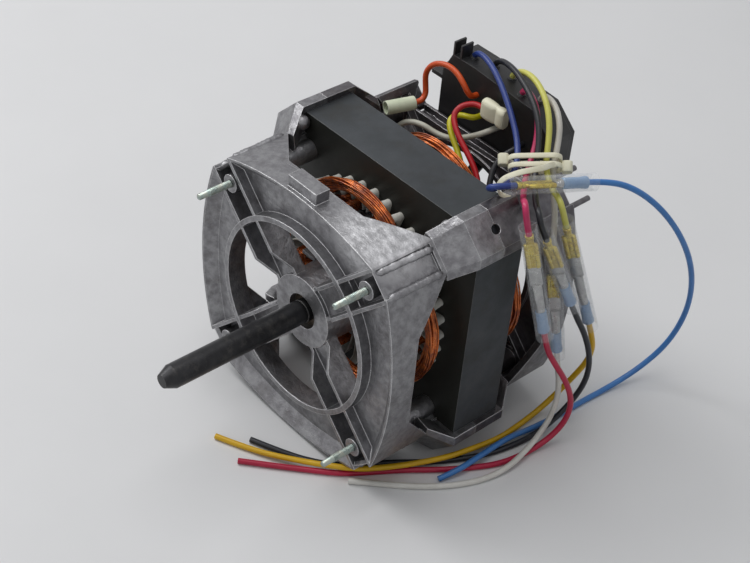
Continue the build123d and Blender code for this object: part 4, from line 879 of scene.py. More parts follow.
INNER_LEADS = (
    Lead("inner_lead_orange", 0.066, FarEnd.OBJECT, (
        (-39.0, 113.0, 66.0), (-37.8, 116.8, 66.0), (-38.0, 120.4, 69.2), (-39.6, 120.8, 75.2),
        (-40.2, 120.6, 81.4), (-37.4, 121.2, 87.4), (-32.0, 122.0, 91.2), (-25.4, 122.6, 92.6),
        (-19.0, 122.4, 91.6), (-13.6, 122.0, 88.4), (-10.4, 122.6, 84.2), (-9.4, 125.2, 80.8),
        (-9.4, 129.2, 80.8))),
    Lead("inner_lead_red", 0.066, FarEnd.OBJECT, (
        (26.5, 99.6, 48.4), (22.6, 103.6, 52.0), (17.2, 106.0, 56.6), (10.2, 107.4, 61.4),
        (2.8, 108.2, 66.0), (-4.2, 109.8, 70.2), (-9.4, 112.8, 74.2), (-9.4, 116.8, 77.8),
        (-6.6, 120.8, 79.8), (-2.8, 123.4, 80.4), (1.5, 123.4, 80.4))),
    Lead("inner_lead_yellow", 0.057, FarEnd.OBJECT, (
        (13.6, 99.6, 50.6), (10.0, 103.8, 53.0), (4.6, 107.4, 55.6), (-2.0, 110.2, 58.8),
        (-8.8, 112.4, 62.4), (-14.4, 115.6, 65.8), (-15.4, 119.2, 68.2), (-12.2, 122.0, 69.4),
        (-7.4, 123.0, 70.2), (-4.6, 125.4, 70.4), (-4.6, 129.2, 70.4))),
    Lead("inner_lead_white", 0.078, FarEnd.OBJECT, (
        (-41.0, 99.8, 41.0), (-41.6, 101.6, 48.4), (-39.4, 103.4, 55.4), (-33.8, 105.8, 60.0),
        (-26.6, 108.8, 60.4), (-19.6, 112.0, 57.4), (-12.4, 115.0, 57.0), (-4.8, 118.4, 60.4),
        (2.4, 120.8, 65.2), (7.2, 122.6, 69.4), (9.4, 125.2, 71.2), (9.4, 129.2, 71.2))),
    Lead("inner_lead_black", 0.043, FarEnd.OBJECT, (
        (34.0, 99.8, 44.6), (30.4, 103.6, 49.0), (26.2, 107.8, 54.2), (23.4, 112.6, 59.6),
        (23.2, 117.6, 64.4), (25.6, 122.0, 67.8), (26.6, 125.6, 69.6), (26.6, 129.2, 69.6))),
)

SPLICE_NODES = ("splice_sleeves", "splice_female_terminals", "splice_male_terminals",
                "splice_barrels")

HARNESS_LEADS = (
    Lead("harness_lead_blue", 0.132, FarEnd.CONNECTOR, (
        (-21.0, 136.5, 96.6), (-19.9, 136.2, 98.4), (-14.8, 135.0, 100.6), (-6.5, 132.8, 100.4),
        (3.0, 129.4, 98.0), (12.5, 125.6, 94.0), (22.0, 121.4, 89.2), (31.0, 116.8, 84.2),
        (38.5, 111.5, 79.8), (44.3, 105.2, 76.2), (49.3, 96.4, 74.6), (52.8, 86.5, 76.6),
        (53.9, 79.6, 78.6), (54.8, 73.8, 82.0), (58.0, 72.0, 85.3), (61.1, 74.5, 86.6),
        (64.2, 83.0, 85.3)), SPLICE_NODES),
    Lead("harness_lead_magenta", 0.119, FarEnd.CONNECTOR, (
        (17.0, 134.0, 94.4), (18.5, 133.4, 97.2), (24.4, 131.4, 98.6), (31.6, 128.2, 96.8),
        (37.6, 124.4, 92.4), (42.4, 120.0, 87.0), (45.8, 115.2, 82.0), (49.0, 109.6, 78.0),
        (53.0, 103.0, 75.2), (58.8, 96.0, 74.0), (65.4, 88.8, 75.4), (70.8, 82.6, 79.8),
        (74.9, 77.6, 84.8), (78.6, 73.8, 88.2), (82.0, 71.2, 87.0), (83.5, 71.4, 81.4),
        (84.6, 73.5, 72.4)), SPLICE_NODES),
    Lead("harness_lead_black", 0.136, FarEnd.CONNECTOR, (
        (-9.0, 140.0, 96.2), (-7.6, 139.6, 98.8), (-1.2, 137.8, 102.2), (8.5, 134.6, 103.8),
        (18.5, 130.8, 103.4), (28.2, 127.0, 101.2), (36.8, 123.2, 97.4), (43.8, 119.0, 92.0),
        (49.2, 114.2, 85.8), (53.6, 108.8, 80.0), (60.0, 102.2, 75.8), (67.2, 95.4, 75.0),
        (73.6, 89.0, 76.8), (78.8, 84.5, 79.0), (82.4, 82.3, 77.2), (84.2, 82.6, 72.8),
        (85.4, 86.8, 63.5)), SPLICE_NODES),
    Lead("harness_lead_yellow", 0.112, FarEnd.CONNECTOR, (
        (4.0, 139.5, 95.4), (5.6, 139.3, 98.6), (12.4, 138.0, 103.2), (21.5, 135.2, 105.4),
        (31.5, 131.4, 104.4), (40.0, 127.4, 100.4), (46.4, 123.4, 94.2), (50.6, 119.4, 87.6),
        (54.6, 114.8, 81.2), (60.4, 110.9, 76.4), (67.4, 107.2, 74.6), (74.4, 104.0, 75.4),
        (79.4, 102.3, 72.8), (81.3, 106.0, 60.2)), SPLICE_NODES),
    Lead("harness_lead_white", 0.103, FarEnd.CONNECTOR, (
        (26.0, 138.0, 93.6), (28.0, 137.2, 97.0), (34.5, 134.8, 100.0), (43.0, 131.6, 98.8),
        (49.8, 127.6, 93.4), (54.0, 122.8, 86.2), (57.4, 117.8, 79.0), (62.2, 113.4, 72.6),
        (68.4, 109.4, 67.0), (74.0, 105.4, 60.2), (77.6, 102.2, 51.6), (79.5, 103.4, 35.1)),
        SPLICE_NODES),
)

PIGTAILS = (
    Lead("pigtail_blue", 0.342, FarEnd.BARE, (
        (77.5, 120.3, 79.2), (82.5, 134.3, 77.0), (90.5, 147.0, 70.5), (98.2, 160.5, 57.0),
        (103.4, 174.5, 37.5), (105.8, 187.0, 15.0), (105.4, 196.0, -9.0), (102.6, 200.0, -33.0),
        (98.0, 196.0, -55.0), (92.5, 182.0, -69.5), (88.8, 163.0, -75.5), (87.4, 142.0, -75.5),
        (86.9, 121.0, -75.5), (84.9, 102.0, -75.5), (84.2, 87.0, -72.6), (85.1, 72.0, -71.4),
        (85.5, 58.0, -71.4), (84.8, 47.0, -72.7), (81.5, 37.0, -75.5))),
    Lead("pigtail_yellow", 0.272, FarEnd.BARE, (
        (91.3, 126.4, -4.8), (93.2, 130.4, -17.3), (93.2, 132.9, -27.5), (90.6, 133.4, -39.0),
        (86.0, 131.0, -51.5), (81.8, 125.0, -63.5), (79.3, 115.0, -72.3), (79.0, 101.0, -75.5),
        (80.2, 84.0, -74.6), (79.4, 67.0, -71.7), (75.5, 50.0, -71.7), (69.0, 34.0, -71.7),
        (61.5, 19.0, -71.7), (53.0, 5.5, -71.7), (40.5, -6.0, -71.7), (25.0, -16.5, -73.5),
        (6.0, -27.5, -75.5), (-14.3, -36.6, -75.5))),
    Lead("pigtail_black", 0.273, FarEnd.BARE, (
        (91.4, 107.7, 17.5), (93.1, 113.4, 4.9), (95.8, 118.4, -5.5), (97.8, 122.8, -18.0),
        (98.2, 126.3, -32.0), (96.6, 127.4, -46.5), (93.4, 124.0, -60.0), (90.8, 116.0, -70.3),
        (89.4, 103.5, -75.5), (88.4, 88.0, -75.5), (84.5, 71.0, -75.5), (77.5, 55.0, -75.5),
        (68.3, 40.0, -75.5), (58.5, 27.0, -75.5), (50.0, 13.5, -75.5), (41.2, 0.3, -75.5),
        (28.5, -9.5, -75.5), (14.0, -17.0, -75.5), (-1.0, -23.4, -75.5))),
    Lead("pigtail_red", 0.260, FarEnd.BARE, (
        (92.4, 88.5, 9.4), (94.1, 91.7, -4.3), (97.8, 96.0, -14.0), (101.4, 101.8, -25.0),
        (103.5, 107.3, -38.0), (103.3, 110.0, -51.5), (101.0, 108.2, -64.0),
        (98.2, 100.0, -73.0), (96.3, 86.0, -75.5), (93.2, 70.0, -75.5), (85.0, 54.5, -75.5),
        (75.5, 40.0, -75.5), (65.5, 27.0, -75.5), (56.8, 13.0, -75.5), (48.0, -0.5, -75.5),
        (36.0, -12.0, -75.5), (22.0, -25.0, -75.5), (7.3, -38.2, -75.5))),
    Lead("pigtail_white", 0.173, FarEnd.BARE, (
        (83.7, 114.3, -24.1), (84.5, 117.1, -37.5), (86.0, 118.6, -47.0), (88.6, 117.0, -57.0),
        (91.4, 110.5, -65.0), (94.2, 100.5, -69.2), (97.2, 87.5, -71.2), (99.0, 73.5, -73.6),
        (97.2, 59.5, -75.5), (92.5, 46.0, -75.5), (85.0, 33.0, -75.5), (75.5, 21.0, -75.5),
        (64.5, 9.5, -75.5), (53.5, -1.5, -75.5))),
)


@dataclass(frozen=True)
class Stator:
    """Sizes of the stack and its slots."""

    front: float = 52.5
    rear: float = 84.0
    slots: int = 36
    slot_root: float = 56.0
    slot_half: float = 2.15


@dataclass(frozen=True)
class CoilSet:
    """Coils of one winding: bundles of enamelled strands round each pole."""

    name: str
    node: str
    phase: float
    wire: float
    outer_radius: float
    depth: float
    spans: tuple[tuple[float, float], ...]
    bend: float
    rows: int
    layers: int
    stray: float
    front_swell: float
    rear_swell: float
    stator: Stator = Stator()
    seed: int = 11
    arc_steps: int = 14
    bend_steps: int = 4
    jitter: float = 0.1
    fan: float = 1.35
    bend_share: float = 0.5
    swell_power: float = 0.6
    wave_half_turns: float = 2.2
    lift_share: float = 0.8
    near_share: float = 0.5
    near_phase: float = 1.7
    near_step: float = 0.5

    def end_turn(self, span: float, radius: float, bend: float) -> Outline:
        """Arc across the pole in the plane of the end turns.

        Args:
            span: Half of the coil's span, in degrees.
            radius: Radius of its slots.
            bend: Radius of the bend out of the slot.

        Returns:
            Points of X and Z, from the left slot to the right one.
        """
        half = math.radians(span)
        centre = bend / math.sin(half)
        arc_radius = radius - bend / math.tan(half)
        points = []
        for i in range(self.arc_steps + 1):
            angle = -half + 2 * half * i / self.arc_steps
            points.append((arc_radius * math.sin(angle), centre + arc_radius * math.cos(angle)))
        return points

    def strand(self, span: float, radius: float, reach: float, bend: float,
               rng: random.Random) -> list[Point]:
        """One closed turn of wire about the +Z pole.

        Args:
            span: Half of the turn's span, in degrees.
            radius: Radius that it lies on in its slots.
            reach: How far it stands out of the stack.
            bend: Radius of its bends.
            rng: Source of the small strays.

        Returns:
            The points of the turn.
        """
        half = math.radians(span)
        points: list[Point] = []
        for end, away in ((self.stator.front, -1), (self.stator.rear, 1)):
            plane = end + away * reach
            foot = plane - away * bend
            wave = rng.uniform(0, math.tau)
            swing = rng.uniform(-self.stray, self.stray)
            corners = []
            for sign in (-1, 1):
                fx, fz = sign * radius * math.sin(half), radius * math.cos(half)
                turn = []
                for i in range(self.bend_steps):
                    angle = math.pi / 2 * i / self.bend_steps
                    out = bend * (1 - math.cos(angle))
                    turn.append((fx - sign * math.cos(half) * out,
                                 foot + away * bend * math.sin(angle),
                                 fz + math.sin(half) * out))
                corners.append(turn)
            across = []
            for i, (x, z) in enumerate(self.end_turn(span, radius, bend)):
                share = math.sin(math.pi * i / self.arc_steps)
                lift = swing * share * math.cos(
                    wave + self.wave_half_turns * i / self.arc_steps * math.pi)
                near = self.stray * self.near_share * share * math.sin(
                    wave * self.near_phase + self.near_step * i)
                most = self.rear_swell if away > 0 else self.front_swell
                swell = 1 + most * share ** self.swell_power
                across.append((x * swell, plane + away * lift * self.lift_share,
                               z * swell + near))
            side = corners[0] + across + corners[1][::-1]
            points += side if away < 0 else side[::-1]
        return points

    def build(self, finish: bpy.types.Material) -> None:
        """Wind the strands of one pole and repeat them round the shaft.

        Args:
            finish: Material of the enamelled wire.
        """
        rng = random.Random(self.seed)
        points: list[Point] = []
        edges: list[tuple[int, int]] = []
        turns = [(span, reach, layer, row) for span, reach in self.spans
                 for layer in range(self.layers) for row in range(self.rows)]
        for span, reach, layer, row in turns:
            radius = self.outer_radius - self.depth * layer / (self.layers - 1)
            side = (row / (self.rows - 1) - 0.5) * 2 * (self.stator.slot_half - self.wire)
            side += rng.uniform(-self.jitter, self.jitter)
            spread = side * self.fan
            turn = self.strand(span + math.degrees(side / radius),
                               radius + rng.uniform(-self.jitter, self.jitter), reach + spread,
                               self.bend + spread * self.bend_share, rng)
            first, count = len(points), len(turn)
            points += [tuple(value * MM for value in place) for place in turn]
            edges += [(first + i, first + (i + 1) % count) for i in range(count)]
        lines = mesh_object(self.name + "_lines", points, [], edges=edges)
        pattern = ShaftPattern(self.name + "_pattern", finish, wire=True)
        made = pattern.apply(lines, self.name, phase=self.phase, wire_radius=self.wire / 2 * MM)
        register(made, self.node)
        LOG.info("%s: %d strands", self.name, len(turns) * CORNERS)


MAIN_COILS = CoilSet(
    name="main_coils", node="main_winding", phase=0.0, wire=1.05, outer_radius=56.9, depth=5.2,
    spans=((40.0, 11.6), (30.0, 9.2)), bend=5.0, rows=4, layers=6, stray=1.1, front_swell=0.07,
    rear_swell=0.16)
START_COILS = CoilSet(
    name="start_coils", node="start_winding", phase=45.0, wire=0.8, outer_radius=48.6, depth=4.6,
    spans=((35.0, 9.8), (25.0, 7.8)), bend=3.0, rows=4, layers=5, stray=0.7, front_swell=0.0,
    rear_swell=0.03, seed=23)


@dataclass(frozen=True)
class SlotCuffs:
    """White cuffs that line each slot and stand out of both ends of the stack."""

    stator: Stator = Stator()
    low_radius: float = 43.3
    shoulder: float = 1.5
    shoulder_tongue: float = 0.1
    tongue_middle: float = 0.45
    tongue_swing: float = 0.55
    side_reach: float = 3.6
    tongue_reach: float = 8.6
    wall: float = 0.4
    flare: float = 1.2
    spread: float = 0.16
    profile_steps: int = 8
    reach_steps: int = 5

    def outline(self) -> list[tuple[float, float, float]]:
        """U-shaped section of one slot along +X.

        Returns:
            Points of X, Z and the share of the tongue at each, from 0 to 1.
        """
        half, root = self.stator.slot_half, self.stator.slot_root
        leg = [(self.low_radius, 0.0), ((self.low_radius + root) / 2, 0.0),
               (root - self.shoulder, self.shoulder_tongue)]
        points = [(x, -half, tongue) for x, tongue in leg]
        for i in range(self.profile_steps + 1):
            angle = -math.pi / 2 + math.pi * i / self.profile_steps
            points.append((root + half * math.cos(angle), half * math.sin(angle),
                           self.tongue_middle + self.tongue_swing * math.cos(angle)))
        return points + [(x, half, tongue) for x, tongue in reversed(leg)]

    def build(self, finish: bpy.types.Material) -> None:
        """Fold one cuff and repeat it round the stack.

        Args:
            finish: Material of the slot paper.
        """
        outline = self.outline()
        steps = range(self.reach_steps + 1)
        stations = [(0, step / self.reach_steps) for step in reversed(steps)]
        stations += [(1, step / self.reach_steps) for step in steps]
        points: list[Point] = []
        for end, share in stations:
            for x, z, tongue in outline:
                reach = (self.side_reach + (self.tongue_reach - self.side_reach) * tongue) * share
                lean = self.flare * tongue * share ** 2
                y = self.stator.rear + reach if end else self.stator.front - reach
                wide = z * (1 + self.spread * min(1.0, 2 * share))
                points.append(((x + lean) * MM, y * MM, wide * MM))
        width = len(outline)
        faces = []
        for row in range(len(stations) - 1):
            for a in range(row * width, (row + 1) * width - 1):
                faces.append((a, a + width, a + width + 1, a + 1))
        cuff = mesh_object("cuff", points, faces)
        solid = cuff.modifiers.new("wall", "SOLIDIFY")
        solid.thickness = self.wall * MM
        solid.offset = -1.0
        source = new_object("cuff_wall", applied_mesh(cuff))
        made = ShaftPattern("cuff_pattern", finish).apply(
            source, "slot_cuffs", self.stator.slots, 360 / self.stator.slots)
        register(made, "slot_liners")


@dataclass(frozen=True)
class ThroughBolts:
    """Four through bolts whose front ends are threaded studs."""

    spacing: float = 105.0
    radius: float = 2.085
    core: float = 1.75
    shank: float = 1.85
    point_radius: float = 1.7
    point_chamfer: float = 0.4
    tip_y: float = -20.0
    point: float = 7.0
    boss_y: float = 0.0
    rear_y: float = 128.0
    head: float = 3.0
    head_flats: float = 6.35
    head_chamfer: float = 0.6
    chamfer_depth: float = 0.5
    pitch: float = 0.8
    sides: int = 20
    head_sides: int = 6
    steps_per_turn: int = 6
    run_in_steps: int = 3

    def profile(self) -> list[tuple[float, float, float]]:
        """Stations along the bolt.

        Returns:
            Y, radius and share of the thread's depth at each.
        """
        rows = [(self.tip_y, 0.0, 0.0),
                (self.tip_y, self.point_radius - self.point_chamfer, 0.0),
                (self.tip_y + self.chamfer_depth, self.point_radius, 0.0)]
        thread_start = self.tip_y + self.point
        rows.append((thread_start - 0.2, self.point_radius, 0.0))
        turns = (self.boss_y - thread_start) / self.pitch
        count = int(turns * self.steps_per_turn)
        for i in range(count + 1):
            y = thread_start + (self.boss_y - thread_start) * i / count
            rows.append((y, self.radius, min(1.0, i / self.run_in_steps)))
        return rows + [(self.boss_y + 0.1, self.shank, 0.0), (self.rear_y, self.shank, 0.0)]

    def ring(self, y: float, radius: float, thread: float, sides: int) -> list[Vector]:
        """Points round the bolt at one station.

        Args:
            y: Place of the station.
            radius: Radius over the thread.
            thread: Share of the thread's depth, from 0 to 1.
            sides: Number of points.

        Returns:
            The points, counter-clockwise seen from the rear.
        """
        centre = self.spacing / 2
        points = []
        for side in range(sides):
            angle = math.tau * side / sides
            phase = (y / self.pitch + side / sides) % 1.0
            groove = abs(phase * 2 - 1) * (self.radius - self.core) * thread
            r = max(radius - groove, 0.0)
            points.append(Vector((centre + r * math.cos(angle), y, centre + r * math.sin(angle))))
        return points[::-1]

    def build(self, finish: bpy.types.Material) -> None:
        """Make one bolt with its hexagon head and repeat it on the four corners.

        Args:
            finish: Material of the plated steel.
        """
        skin = Skin()
        skin.loft([self.ring(y, radius, thread, self.sides)
                   for y, radius, thread in self.profile()], ends=False)
        corner = self.head_flats / math.sqrt(3)
        back = self.rear_y + self.head
        head = ((self.rear_y, corner), (back - self.chamfer_depth, corner),
                (back, corner - self.head_chamfer))
        skin.loft([self.ring(y, radius, 0.0, self.head_sides) for y, radius in head])
        made = ShaftPattern("bolt_pattern", finish).apply(skin.shape("bolt"), "threaded_bolts")
        register(made, "through_bolts")


@dataclass(frozen=True)
class Splices:
    """Push-on connectors in clear sleeves, one for each harness lead.

    The rows are distance, width, height and corner. The roll's rows are distance and share of
    its radius, and the barrel's are distance back from its mouth and change of its radius.
    """

    ends: tuple[tuple[Point, Point], ...] = (
        ((84.0, 72.4, 77.2), (93.0, 89.6, 4.6)),
        ((84.8, 84.8, 68.0), (92.0, 109.7, 13.0)),
        ((80.6, 104.5, 64.9), (92.0, 127.9, -9.5)),
        ((79.2, 102.5, 40.0), (84.0, 115.2, -29.0)),
        ((62.5, 78.3, 86.0), (79.2, 125.0, 78.5)),
    )
    flat_side: Point = (0.71, 0.70, 0.0)
    sleeve_radius: float = 4.6
    sleeve_wall: float = 0.5
    inset: float = 5.15
    crimp: float = 5.0
    crimp_rows: Rows = (
        (0.0, 3.9, 3.5, 1.5), (0.2, 4.3, 3.9, 1.7), (1.9, 4.3, 3.9, 1.7), (2.1, 3.0, 2.4, 1.0),
        (2.6, 2.8, 2.0, 0.9), (2.8, 3.7, 3.2, 1.4), (4.4, 3.7, 3.2, 1.4), (4.6, 3.0, 2.0, 0.8),
        (6.2, 5.6, 1.6, 0.6))
    receptacle: float = 16.0
    receptacle_width: float = 7.2
    floor_rows: Rows = ((0.9, 5.8, 1.8, 0.4), (15.8, 5.8, 1.8, 0.4))
    latch_rows: Rows = ((6.0, 1.2, 1.9, 0.5), (6.8, 2.4, 2.7, 1.0), (8.4, 2.4, 2.7, 1.0),
                        (9.2, 1.2, 1.9, 0.5))
    roll: float = 1.3
    roll_lift: float = 0.1
    roll_rows: tuple[tuple[float, float], ...] = ((0.8, 0.7), (1.3, 1.0), (15.7, 1.0),
                                                  (16.0, 0.8))
    blade_width: float = 6.35
    blade: float = 0.8
    blade_corner: float = 0.3
    blade_hidden: float = 8.0
    blade_taper: float = 0.8
    neck: float = 3.5
    shoulder_share: float = 0.45
    shoulder_row: tuple[float, float, float] = (5.2, 1.8, 0.7)
    neck_from: tuple[float, float] = (5.2, 2.2)
    neck_to: tuple[float, float] = (4.6, 4.4)
    neck_growth: float = 1.6
    neck_overlap: float = 0.6
    neck_round: float = 0.42
    bands: int = 4
    band_steps: int = 6
    band_depth: float = 0.18
    barrel_radius: float = 2.9
    barrel_rows: tuple[tuple[float, float], ...] = (
        (14.0, -0.5), (13.5, 0.0), (4.0, 0.0), (1.0, 0.35), (0.0, 0.3), (0.0, -0.5), (1.5, -0.9))

    def terminal(self, skin: Skin, place: Place) -> None:
        """Add the female terminal: two crimps and a receptacle with rolled edges.

        Args:
            skin: What it is added to.
            place: Start and direction of the splice.
        """
        box = self.inset + self.crimp
        skin.bar(place, box_stations(self.inset, self.crimp_rows))
        edge = self.receptacle_width / 2 - self.roll
        for side in (-1, 1):
            skin.bar(place, [(box + away, round_section(self.roll * share, 14))
                             for away, share in self.roll_rows], (side * edge, self.roll_lift))
        skin.bar(place, box_stations(box, self.floor_rows))
        skin.bar(place, box_stations(box, self.latch_rows))

    def blade_and_neck(self, skin: Skin, place: Place, length: float) -> None:
        """Add the male blade, its shoulder and the ringed neck above the barrel.

        Args:
            skin: What they are added to.
            place: Start and direction of the splice.
            length: Length of the whole splice.
        """
        box_end = self.inset + self.crimp + self.receptacle
        barrel_start = length - self.inset - self.barrel_rows[0][0]
        shoulder = box_end + (barrel_start - self.neck - box_end) * self.shoulder_share
        flat = box_section(self.blade_width, self.blade, self.blade_corner)
        tip = box_section(self.blade_width - 1.2, self.blade, self.blade_corner)
        hidden = box_end - self.blade_hidden
        skin.bar(place, [(hidden, tip), (hidden + self.blade_taper, flat), (shoulder, flat),
                         (shoulder + 0.1, box_section(*self.shoulder_row))])
        stations = []
        reach = barrel_start + self.neck_overlap - shoulder
        steps = self.bands * self.band_steps
        for i in range(steps + 1):
            share = i / steps
            groove = self.band_depth if i % self.band_steps == self.band_steps // 2 else 0.0
            width = self.neck_from[0] + (self.neck_to[0] - self.neck_from[0]) * share - groove
            rise = min(1.0, share * self.neck_growth)
            height = self.neck_from[1] + (self.neck_to[1] - self.neck_from[1]) * rise - groove
            corner = min(width, height) * self.neck_round
            stations.append((shoulder + reach * share, box_section(width, height, corner)))
        skin.bar(place, stations)

    def build(self) -> None:
        """Make the terminals, blades, barrels and sleeves of all the splices."""
        brass, tin, blue, clear = Skin(), Skin(), Skin(), Skin()
        for start, end in self.ends:
            place = Place.between(start, end, self.flat_side)
            length = (Vector(end) - Vector(start)).length
            self.terminal(brass, place)
            self.blade_and_neck(tin, place, length)
            blue.bar(place, [(length - self.inset - back,
                              round_section(self.barrel_radius + change, 24))
                             for back, change in self.barrel_rows])
            clear.tube(place, length, self.sleeve_radius, self.sleeve_wall)
        brass.build("crimp_terminals", BRASS.build(), "splice_female_terminals", "contact_brass")
        tin.build("blades_and_necks", TINNED.build(), "splice_male_terminals", "tinned")
        blue.build("flared_barrels", BARREL_BLUE.build(), "splice_barrels", "barrel_blue")
        clear.build("clear_tubes", CLEAR_SLEEVE.build(), "splice_sleeves", "clear_sleeve")


@dataclass(frozen=True)
class CableTies:
    """Two nylon ties with square heads, and one long loose tail."""

    centre: Point = (51.45, 110.7, 79.3)
    across: Point = (0.71, 0.685, 0.15)
    along: Point = (0.55, -0.62, -0.56)
    half: float = 12.4
    half_depth: float = 4.75
    corner: float = 3.9
    wall: float = 1.2
    width: float = 2.8
    strap_corner: float = 0.45
    step: float = 4.6
    head_half: float = 3.1
    head_gap: float = 2.2
    head_rows: Rows = ((0.0, 4.6, 4.2, 1.4), (0.6, 5.6, 5.6, 1.6), (5.2, 5.6, 5.6, 1.6),
                       (6.0, 4.8, 4.8, 1.6))
    tail: tuple[Point, ...] = (
        (60.5, 116.5, 82.0), (63.0, 108.5, 86.0), (65.0, 100.0, 89.0), (64.5, 92.0, 90.8),
        (62.0, 85.0, 90.4), (58.8, 79.8, 87.4), (57.2, 78.0, 82.4), (58.2, 79.6, 78.2),
        (62.0, 83.0, 76.4))
    tail_width: float = 3.0
    tail_wall: float = 0.9
    tail_lean: Point = (0.35, 0.1, 0.0)
    tail_steps: int = 6

    def band(self, skin: Skin, centre: Vector, across: Vector, depth: Vector,
             along: Vector) -> None:
        """Add one closed strap round the leads.

        Args:
            skin: What it is added to.
            centre: Middle of the strap.
            across: Direction of the bundle's width.
            depth: Direction of its depth.
            along: Direction of the leads.
        """
        loop = box_section(2 * self.half + self.wall, 2 * self.half_depth + self.wall,
                           self.corner + self.wall / 2, 6)
        rings = []
        for i, (x, y) in enumerate(loop):
            here = centre + across * x + depth * y
            bx, by = loop[i - 1]
            ax, ay = loop[(i + 1) % len(loop)]
            ahead = (across * (ax - bx) + depth * (ay - by)).normalized()
            up = ahead.cross(along)
            rings.append([here + along * u + up * v
                          for u, v in box_section(self.width, self.wall, self.strap_corner, 2)])
        skin.loft(rings, closed=True)

    def build(self) -> None:
        """Make the two ties and the tail."""
        skin = Skin()
        across = Vector(self.across).normalized()
        along = Vector(self.along)
        along = (along - across * along.dot(across)).normalized()
        depth = along.cross(across)
        for side in (-1, 1):
            centre = Vector(self.centre) + along * (side * self.step / 2)
            self.band(skin, centre, across, depth, along)
            outer = centre + across * (side * (self.half + self.wall + self.head_gap))
            head = Place(outer - along * self.head_half, across, depth, along)
            skin.bar(head, box_stations(0.0, self.head_rows))
        skin.ribbon(self.smooth_tail(), along + Vector(self.tail_lean), self.tail_width,
                    self.tail_wall)
        skin.build("ribbed_ties", NYLON.build(), "cable_ties", "nylon")

    def smooth_tail(self) -> list[Vector]:
        """Draw a smooth path through the tail's points.

        Returns:
            Points of the path.
        """
        points = [Vector(point) for point in self.tail]
        points = [points[0]] + points + [points[-1]]
        path = []
        for a, b, c, d in zip(points, points[1:], points[2:], points[3:]):
            for i in range(self.tail_steps):
                s = i / self.tail_steps
                path.append(0.5 * (2 * b + (c - a) * s + (2 * a - 5 * b + 4 * c - d) * s ** 2
                                   + (3 * b - a - 3 * c + d) * s ** 3))
        path.append(points[-1])
        return path


@dataclass(frozen=True)
class FlagSleeve:
    """Soft off-white sleeve that is pinched flat round the end of the red lead.

    The shares are of its length, depth, height and full rounding.
    """

    left: float = 1.5
    length: float = 16.0
    low: float = 75.5
    height: float = 12.0
    front: float = 120.2
    depth: float = 6.4
    rounding: float = 0.49
    shares: Rows = (
        (0.0, 0.72, 0.86, 0.8), (0.03, 0.84, 0.95, 1.0), (0.1, 0.97, 1.0, 1.0),
        (0.3, 1.0, 1.0, 1.0), (0.5, 0.92, 0.97, 1.0), (0.6, 0.7, 0.93, 1.0),
        (0.64, 0.6, 0.92, 1.0), (0.68, 0.74, 0.94, 1.0), (0.78, 0.95, 0.98, 1.0),
        (0.9, 0.95, 0.98, 1.0), (0.98, 0.86, 0.93, 1.0), (1.0, 0.74, 0.84, 0.85))

    def build(self) -> None:
        """Make a lobe that narrows to a fold and opens into a collar on its right."""
        start = Vector((self.left, self.front + self.depth / 2, self.low + self.height / 2))
        place = Place(start, Vector((0.0, 1.0, 0.0)), Vector((0.0, 0.0, 1.0)),
                      Vector((1.0, 0.0, 0.0)))
        skin = Skin()
        skin.bar(place, [
            (share * self.length, box_section(self.depth * deep, self.height * high,
                                              self.rounding * self.depth * deep * full, 6))
            for share, deep, high, full in self.shares])
        skin.build("pinched_sleeve", NYLON.build(), "lead_sleeve", "nylon")


@dataclass(frozen=True)
class CornerRidges:
    """Rough ridges with a channel between them on the corners of the front casting."""

    lines: tuple[tuple[Point, Point], ...] = (
        ((55.4, 2.6, 63.6), (57.2, 37.0, 63.6)),
        ((65.4, 2.6, 54.6), (66.4, 36.0, 55.0)),
    )
    outward: Point = (0.71, 0.0, 0.71)
    radius: float = 2.1
    roughness: float = 0.1
    taper_start: float = 0.45
    taper_step: float = 0.3
    steps: int = 30
    seed: int = 5

    def build(self, finish: bpy.types.Material) -> None:
        """Make the two ridges of one corner and repeat them on all four.

        Args:
            finish: Material of the casting.
        """
        rng = random.Random(self.seed)
        skin = Skin()
        for start, end in self.lines:
            place = Place.between(start, end, self.outward)
            length = (Vector(end) - Vector(start)).length
            stations = []
            for i in range(self.steps + 1):
                taper = min(1.0, self.taper_start + self.taper_step * min(i, self.steps - i))
                size = self.radius * taper * (1 + rng.uniform(-1, 1) * self.roughness)
                stations.append((length * i / self.steps, round_section(size, 14)))
            skin.bar(place, stations)
        made = ShaftPattern("ridge_pattern", finish).apply(skin.shape("ridge_pair"),
                                                           "corner_ridges")
        register(made)


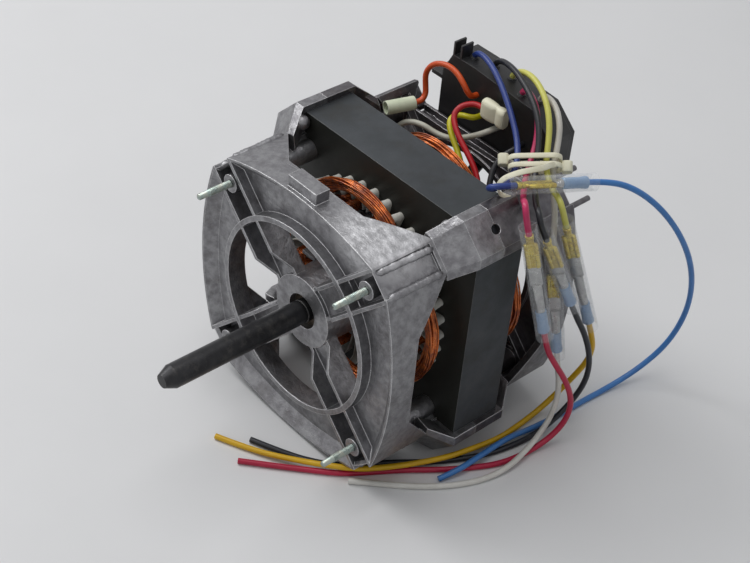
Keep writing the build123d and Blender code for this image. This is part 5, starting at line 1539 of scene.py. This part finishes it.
@dataclass(frozen=True)
class GovernorSpring:
    """The governor's return spring, in metres, which the collar presses together."""

    anchor_y: float = 0.087
    travel: float = 0.003
    weld: float = 0.000001
    sharp_angle: float = 45.0

    def build(self, finish: bpy.types.Material) -> None:
        """Copy the spring's own form and set it on the rotor.

        Args:
            finish: Material of the drawn wire.
        """
        shape = bmesh.new()
        shape.from_mesh(NODES["governor_spring"].data)
        bmesh.ops.remove_doubles(shape, verts=shape.verts, dist=self.weld)
        mesh = bpy.data.meshes.new("return_spring")
        shape.to_mesh(mesh)
        shape.free()
        mesh.materials.clear()
        mesh.materials.append(finish)
        for polygon in mesh.polygons:
            polygon.use_smooth = True
        mesh.set_sharp_from_angle(angle=math.radians(self.sharp_angle))
        made = new_object("return_spring", mesh)
        register(made, "governor_spring", Body.ROTOR)
        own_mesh(made)


@dataclass(frozen=True)
class Solids:
    """The castings, stack, shaft and inner pieces, whose solids come from the frame."""

    nodes: tuple[tuple[Finish, tuple[str, ...]], ...] = (
        (CAST_FRONT, ("front_shield",)),
        (CAST_REAR_SHADED, ("rear_shield",)),
        (LAMINATION, ("stator_core", "rotor_core")),
        (CAGE, ("rotor_cage",)),
        (BLACK_SHAFT, ("shaft",)),
        (BRONZE, ("front_bearing", "rear_bearing")),
        (FELT, ("front_felt_wick", "rear_felt_wick")),
        (PRESSED_STEEL, ("front_bearing_retainer", "rear_bearing_retainer", "governor_base",
                         "governor_pins", "governor_weight_upper", "governor_weight_lower",
                         "lever_pin", "switch_screws")),
        (FIBRE, ("front_thrust_washer", "rear_thrust_washer")),
        (COLLAR_NYLON, ("governor_collar",)),
        (BLACK_MOULDING, ("switch_housing", "switch_cover", "switch_lever")),
        (BRASS, ("moving_contact", "fixed_contact")),
        (TINNED, ("switch_terminals", "overload_protector")),
        (SLEEVE_NYLON, ("protector_sleeve",)),
    )

    def dress(self) -> None:
        """Give each solid its finish."""
        for finish, names in self.nodes:
            material = finish.build()
            for name in names:
                mesh = NODES[name].data
                mesh.materials.clear()
                mesh.materials.append(material)
                LOG.info("%s dressed", name)


def main() -> None:
    """Build the scene in order."""
    logging.basicConfig(level=logging.INFO, format="%(name)s: %(message)s")
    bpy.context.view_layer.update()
    Studio().build()
    for lead in (*INNER_LEADS, *HARNESS_LEADS, *PIGTAILS):
        lead.build()
    Solids().dress()
    copper = COPPER.build()
    MAIN_COILS.build(copper)
    START_COILS.build(copper)
    SlotCuffs().build(SLOT_PAPER.build())
    ThroughBolts().build(ZINC.build())
    Splices().build()
    CableTies().build()
    FlagSleeve().build()
    CornerRidges().build(CAST_FRONT.build())
    GovernorSpring().build(SPRING_WIRE.build())


if __name__ == "__main__":
    main()
